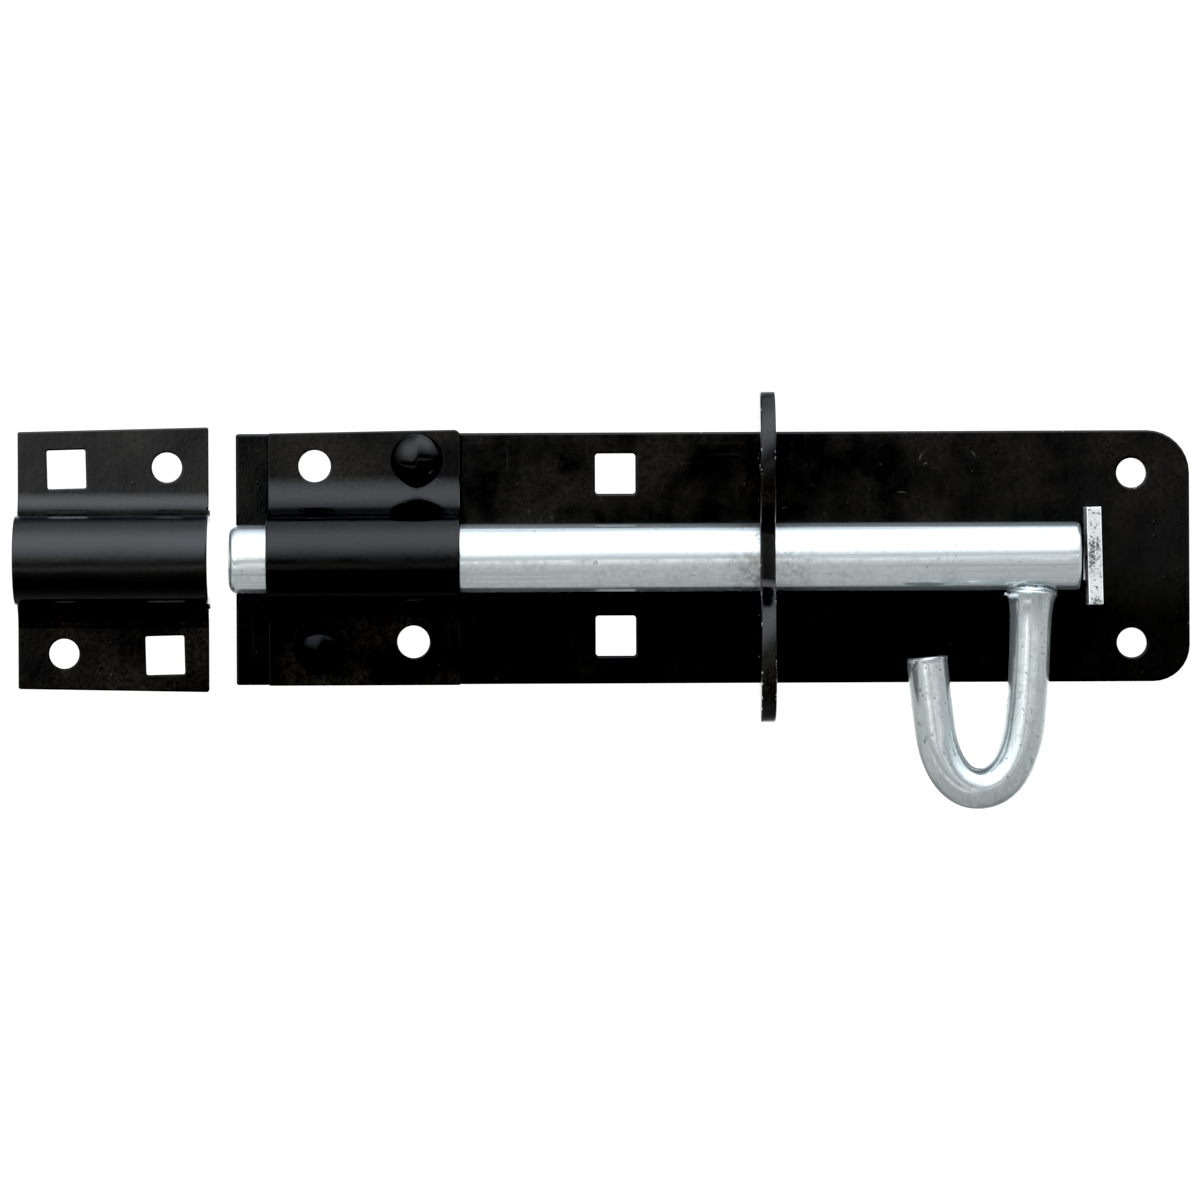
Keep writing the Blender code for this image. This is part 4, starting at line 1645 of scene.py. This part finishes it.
@dataclass(frozen=True)
class Studio:
    """The camera, the lights, the pale surroundings and the floor."""

    camera_place: Triple = (-0.0237, -1.68, -0.0088)
    camera_roll: float = 0.25
    lens: float = 239.9
    sensor: float = 36.0
    clip: Point = (0.05, 20.0)
    # Radiance by the angle round the bolt's axis, in degrees: 0 towards the camera, 90 overhead.
    sweep: tuple[Point, ...] = (
        (-180.0, 1.60), (-162.0, 1.10), (-148.0, 0.28), (-126.0, 0.25), (-112.0, 0.37), (-90.0, 0.43),
        (-60.0, 0.44), (-40.0, 0.46), (-24.0, 0.50), (-19.0, 0.54),
        (-16.0, 1.00), (-9.0, 1.05), (-6.0, 0.42), (1.5, 0.40), (5.0, 0.58), (9.0, 0.90), (16.0, 1.40),
        (23.0, 1.85), (31.0, 2.30), (40.0, 2.65), (52.0, 2.90), (64.0, 2.80), (78.0, 2.30), (92.0, 1.55),
        (104.0, 1.05), (116.0, 0.82), (122.0, 0.66), (130.0, 0.30), (148.0, 0.28), (162.0, 1.10), (180.0, 1.60))
    brightest: float = 3.0
    # How far along X the surroundings turn to their side level, and how steeply the sweep leans in the middle.
    side_reach: Band = (0.55, 0.98)
    side_level: float = 0.62
    lean_reach: float = 0.09
    sweep_lean: float = 2.6
    tint_heights: Band = (0.0, 0.35)
    low_tint: Colour = (1.0, 1.0, 1.0)
    high_tint: Colour = (0.95, 1.0, 1.09)
    backdrop: float = 1.1
    black_point: float = 0.0172
    floor_height: float = -0.17
    floor_size: float = 1.6
    floor_behind: float = 0.3
    floor_colour: Colour = (0.82, 0.82, 0.81)
    floor_rough: float = 0.8
    lights: tuple[Softbox, ...] = (
        Softbox("front_left", (-0.53, -1.50, -0.03), (0.0, 0.0, 0.0), (0.11, 0.24), 1.7),)

    def build(self) -> None:
        """Set up the whole studio."""
        self.build_camera()
        self.build_world()
        self.build_floor()
        for light in self.lights:
            light.build()
        self.set_view()

    def build_camera(self) -> None:
        """Stand the camera square to the object's front."""
        data = bpy.data.cameras.new("camera")
        data.lens = self.lens
        data.sensor_width = self.sensor
        data.clip_start, data.clip_end = self.clip
        camera = bpy.data.objects.new("camera", data)
        camera.matrix_world = (Matrix.Translation(self.camera_place)
                               @ Matrix.Rotation(math.radians(self.camera_roll), 4, "Y")
                               @ Matrix.Rotation(math.radians(90), 4, "X"))
        bpy.context.scene.collection.objects.link(camera)
        bpy.context.scene.camera = camera

    def build_world(self) -> None:
        """Sweep soft light round the bolt's axis, and show white where the camera looks past it."""
        world = bpy.data.worlds.new("surroundings")
        world.use_nodes = True
        bpy.context.scene.world = world
        graph = Graph(world.node_tree)
        background = world.node_tree.nodes["Background"]
        toward = graph.add("ShaderNodeSeparateXYZ",
                           {0: graph.add("ShaderNodeTexCoord").outputs["Generated"]}).outputs
        turn = graph.math("ARCTAN2", toward["Z"], graph.times(toward["Y"], -1.0))
        steepest = self.lean_reach * self.sweep_lean
        lean = graph.band(toward["X"], -self.lean_reach, self.lean_reach, steepest, -steepest)
        share = graph.band(graph.plus(turn, lean), -math.pi, math.pi)
        sweep = graph.add("ShaderNodeFloatCurve", {"Value": share, "Factor": 1.0})
        line = sweep.mapping.curves[0]
        for index, (degrees, radiance) in enumerate(self.sweep):
            spot = ((degrees + 180) / 360, radiance / self.brightest)
            if index < 2:
                line.points[index].location = spot
            else:
                line.points.new(*spot)
        sweep.mapping.update()
        shaped = graph.times(sweep.outputs[0], self.brightest)
        sideways = graph.band(graph.math("ABSOLUTE", toward["X"]), *self.side_reach)
        level = graph.plus(graph.times(shaped, graph.minus(1.0, sideways)),
                           graph.times(sideways, self.side_level))
        seen = graph.add("ShaderNodeLightPath").outputs["Is Camera Ray"]
        cool = graph.blend(graph.band(toward["Z"], *self.tint_heights), self.low_tint, self.high_tint)
        graph.feed(background.inputs["Color"], graph.blend(seen, cool, (1.0, 1.0, 1.0)))
        unseen = graph.times(level, graph.minus(1.0, seen))
        graph.feed(background.inputs["Strength"], graph.plus(unseen, graph.times(seen, self.backdrop)))

    def build_floor(self) -> None:
        """Lay a plain pale floor below the object."""
        shape = bmesh.new()
        bmesh.ops.create_circle(shape, cap_ends=True, segments=96, radius=self.floor_size / 2)
        shape.transform(Matrix.Translation((0.0, self.floor_behind - self.floor_size / 2, self.floor_height)))
        floor = linked("floor", shape)
        material = bpy.data.materials.new("floor_pale")
        material.use_nodes = True
        shader = material.node_tree.nodes["Principled BSDF"]
        shader.inputs["Base Color"].default_value = (*self.floor_colour, 1.0)
        shader.inputs["Roughness"].default_value = self.floor_rough
        floor.data.materials.append(material)
        floor.visible_glossy = False

    def set_view(self) -> None:
        """Show colours plainly, with the deepest blacks closed up."""
        view = bpy.context.scene.view_settings
        view.view_transform = "Standard"
        view.look = "None"
        view.use_curve_mapping = True
        view.curve_mapping.black_level = (self.black_point,) * 3
        view.curve_mapping.update()


# ---------------------------------------------------------------- the whole object


def main() -> None:
    """Build every piece round the frame, then the studio."""
    logging.basicConfig(level=logging.INFO, format="%(name)s %(message)s")
    for leftover in list(bpy.data.objects):
        bpy.data.objects.remove(leftover, do_unlink=True)
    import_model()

    plate_paint = BlackPaint("black_paint_plate", gloss=0.31, low_gloss=0.24, low_dust_and_sheen=0.2, scratches=(
        Scratch(0.0395, 0.0136, 0.0012, 0.00016, 0.0), Scratch(0.0437, 0.0212, 0.0011, 0.00020, 62.0),
        Scratch(0.0446, 0.0196, 0.0005, 0.00022, 10.0), Scratch(0.0548, 0.0216, 0.0009, 0.00018, -48.0),
        Scratch(0.0150, 0.0104, 0.0007, 0.00014, 20.0))).build()
    guide_paint = BlackPaint("black_paint_guide", gloss=0.36, low_gloss=0.25, low_dust_and_sheen=1.3, scratches=(
        Scratch(-0.0574, 0.0165, 0.0009, 0.00014, -12.0), Scratch(-0.0583, 0.0158, 0.0004, 0.00016, 35.0))).build()
    keeper_paint = BlackPaint("black_paint_keeper", gloss=0.48, low_gloss=0.25, low_dust_and_sheen=1.4).build()
    rivet_paint = BlackPaint("black_paint_rivets", gloss=0.33, low_gloss=0.17, low_dust_and_sheen=0.3).build()
    staple_paint = BlackPaint("black_paint_staple", gloss=0.42, low_gloss=0.42, low_dust_and_sheen=1.0, high_dust=0.9,
                              chip_level=0.62).build()
    bar_zinc = Zinc("bright_zinc_drawn", stain_reach=0.011, line_depth=0.000034, metal=0.90, smooth=0.11,
                    rough=0.26).build()
    rod_zinc = Zinc("grey_zinc_bent", light=(0.58, 0.63, 0.625), dull=(0.40, 0.44, 0.43), smooth=0.13, rough=0.30,
                    grain=(900.0, 900.0, 60.0), metal=0.82, pit_level=0.66, scuff_level=0.62).build()
    # The tab's sheared edges get a painted highlight.
    tab_zinc = Zinc("grey_zinc_sheared", light=(0.80, 0.83, 0.80), dull=(0.50, 0.52, 0.49), smooth=0.24, rough=0.42,
                    grain=(300.0, 300.0, 200.0), pit_level=0.60, scuff_level=0.56, edge_highlight=0.85, metal=0.72,
                    blots=(((0.0788, 0.0008), (0.0009, 0.0045)), ((0.0799, 0.0022), (0.0005, 0.0016)),
                           ((0.0797, -0.0093), (0.0013, 0.0009)))).build()
    weld_zinc = Zinc("grey_zinc_weld", light=(0.62, 0.67, 0.68), dull=(0.40, 0.44, 0.45), smooth=0.42, rough=0.62,
                     grain=(900.0, 900.0, 900.0), grain_depth=0.00012, metal=0.6, pit_level=0.64,
                     scuff_level=0.57).build()

    Backplate().build(plate_paint)
    Saddle("front_guide", base=0.0033, tunnel=0.0075, fillets=(0.0085, 0.0040), top=(0.0264, 0.0270),
           bottom=(0.0265, 0.0265), corners=(0.0014, 0.0005, 0.0005, 0.0006),
           round_holes=GUIDE_HOLES).build(guide_paint)
    Saddle("keeper", base=0.0, tunnel=0.00765, fillets=(0.0051, 0.0051), top=(0.0270, 0.0278),
           bottom=(0.0270, 0.0278), corners=(0.0005, 0.0004, 0.0005, 0.0006), notch=0.00045, flange_relief=0.0004,
           square_holes=((-0.1356, 0.0191), (-0.1150, -0.0200)),
           round_holes=(((-0.1145, 0.0194), 0.00315), ((-0.1362, -0.0196), 0.00315))).build(keeper_paint)
    Rivets().build(rivet_paint)
    Staple().build(staple_paint)
    EndStop().build(tab_zinc)
    RoundBolt().build(bar_zinc)
    handle = HookHandle()
    handle.build_rod(rod_zinc)
    handle.build_weld(weld_zinc)
    Studio().build()


if __name__ == "__main__":
    main()
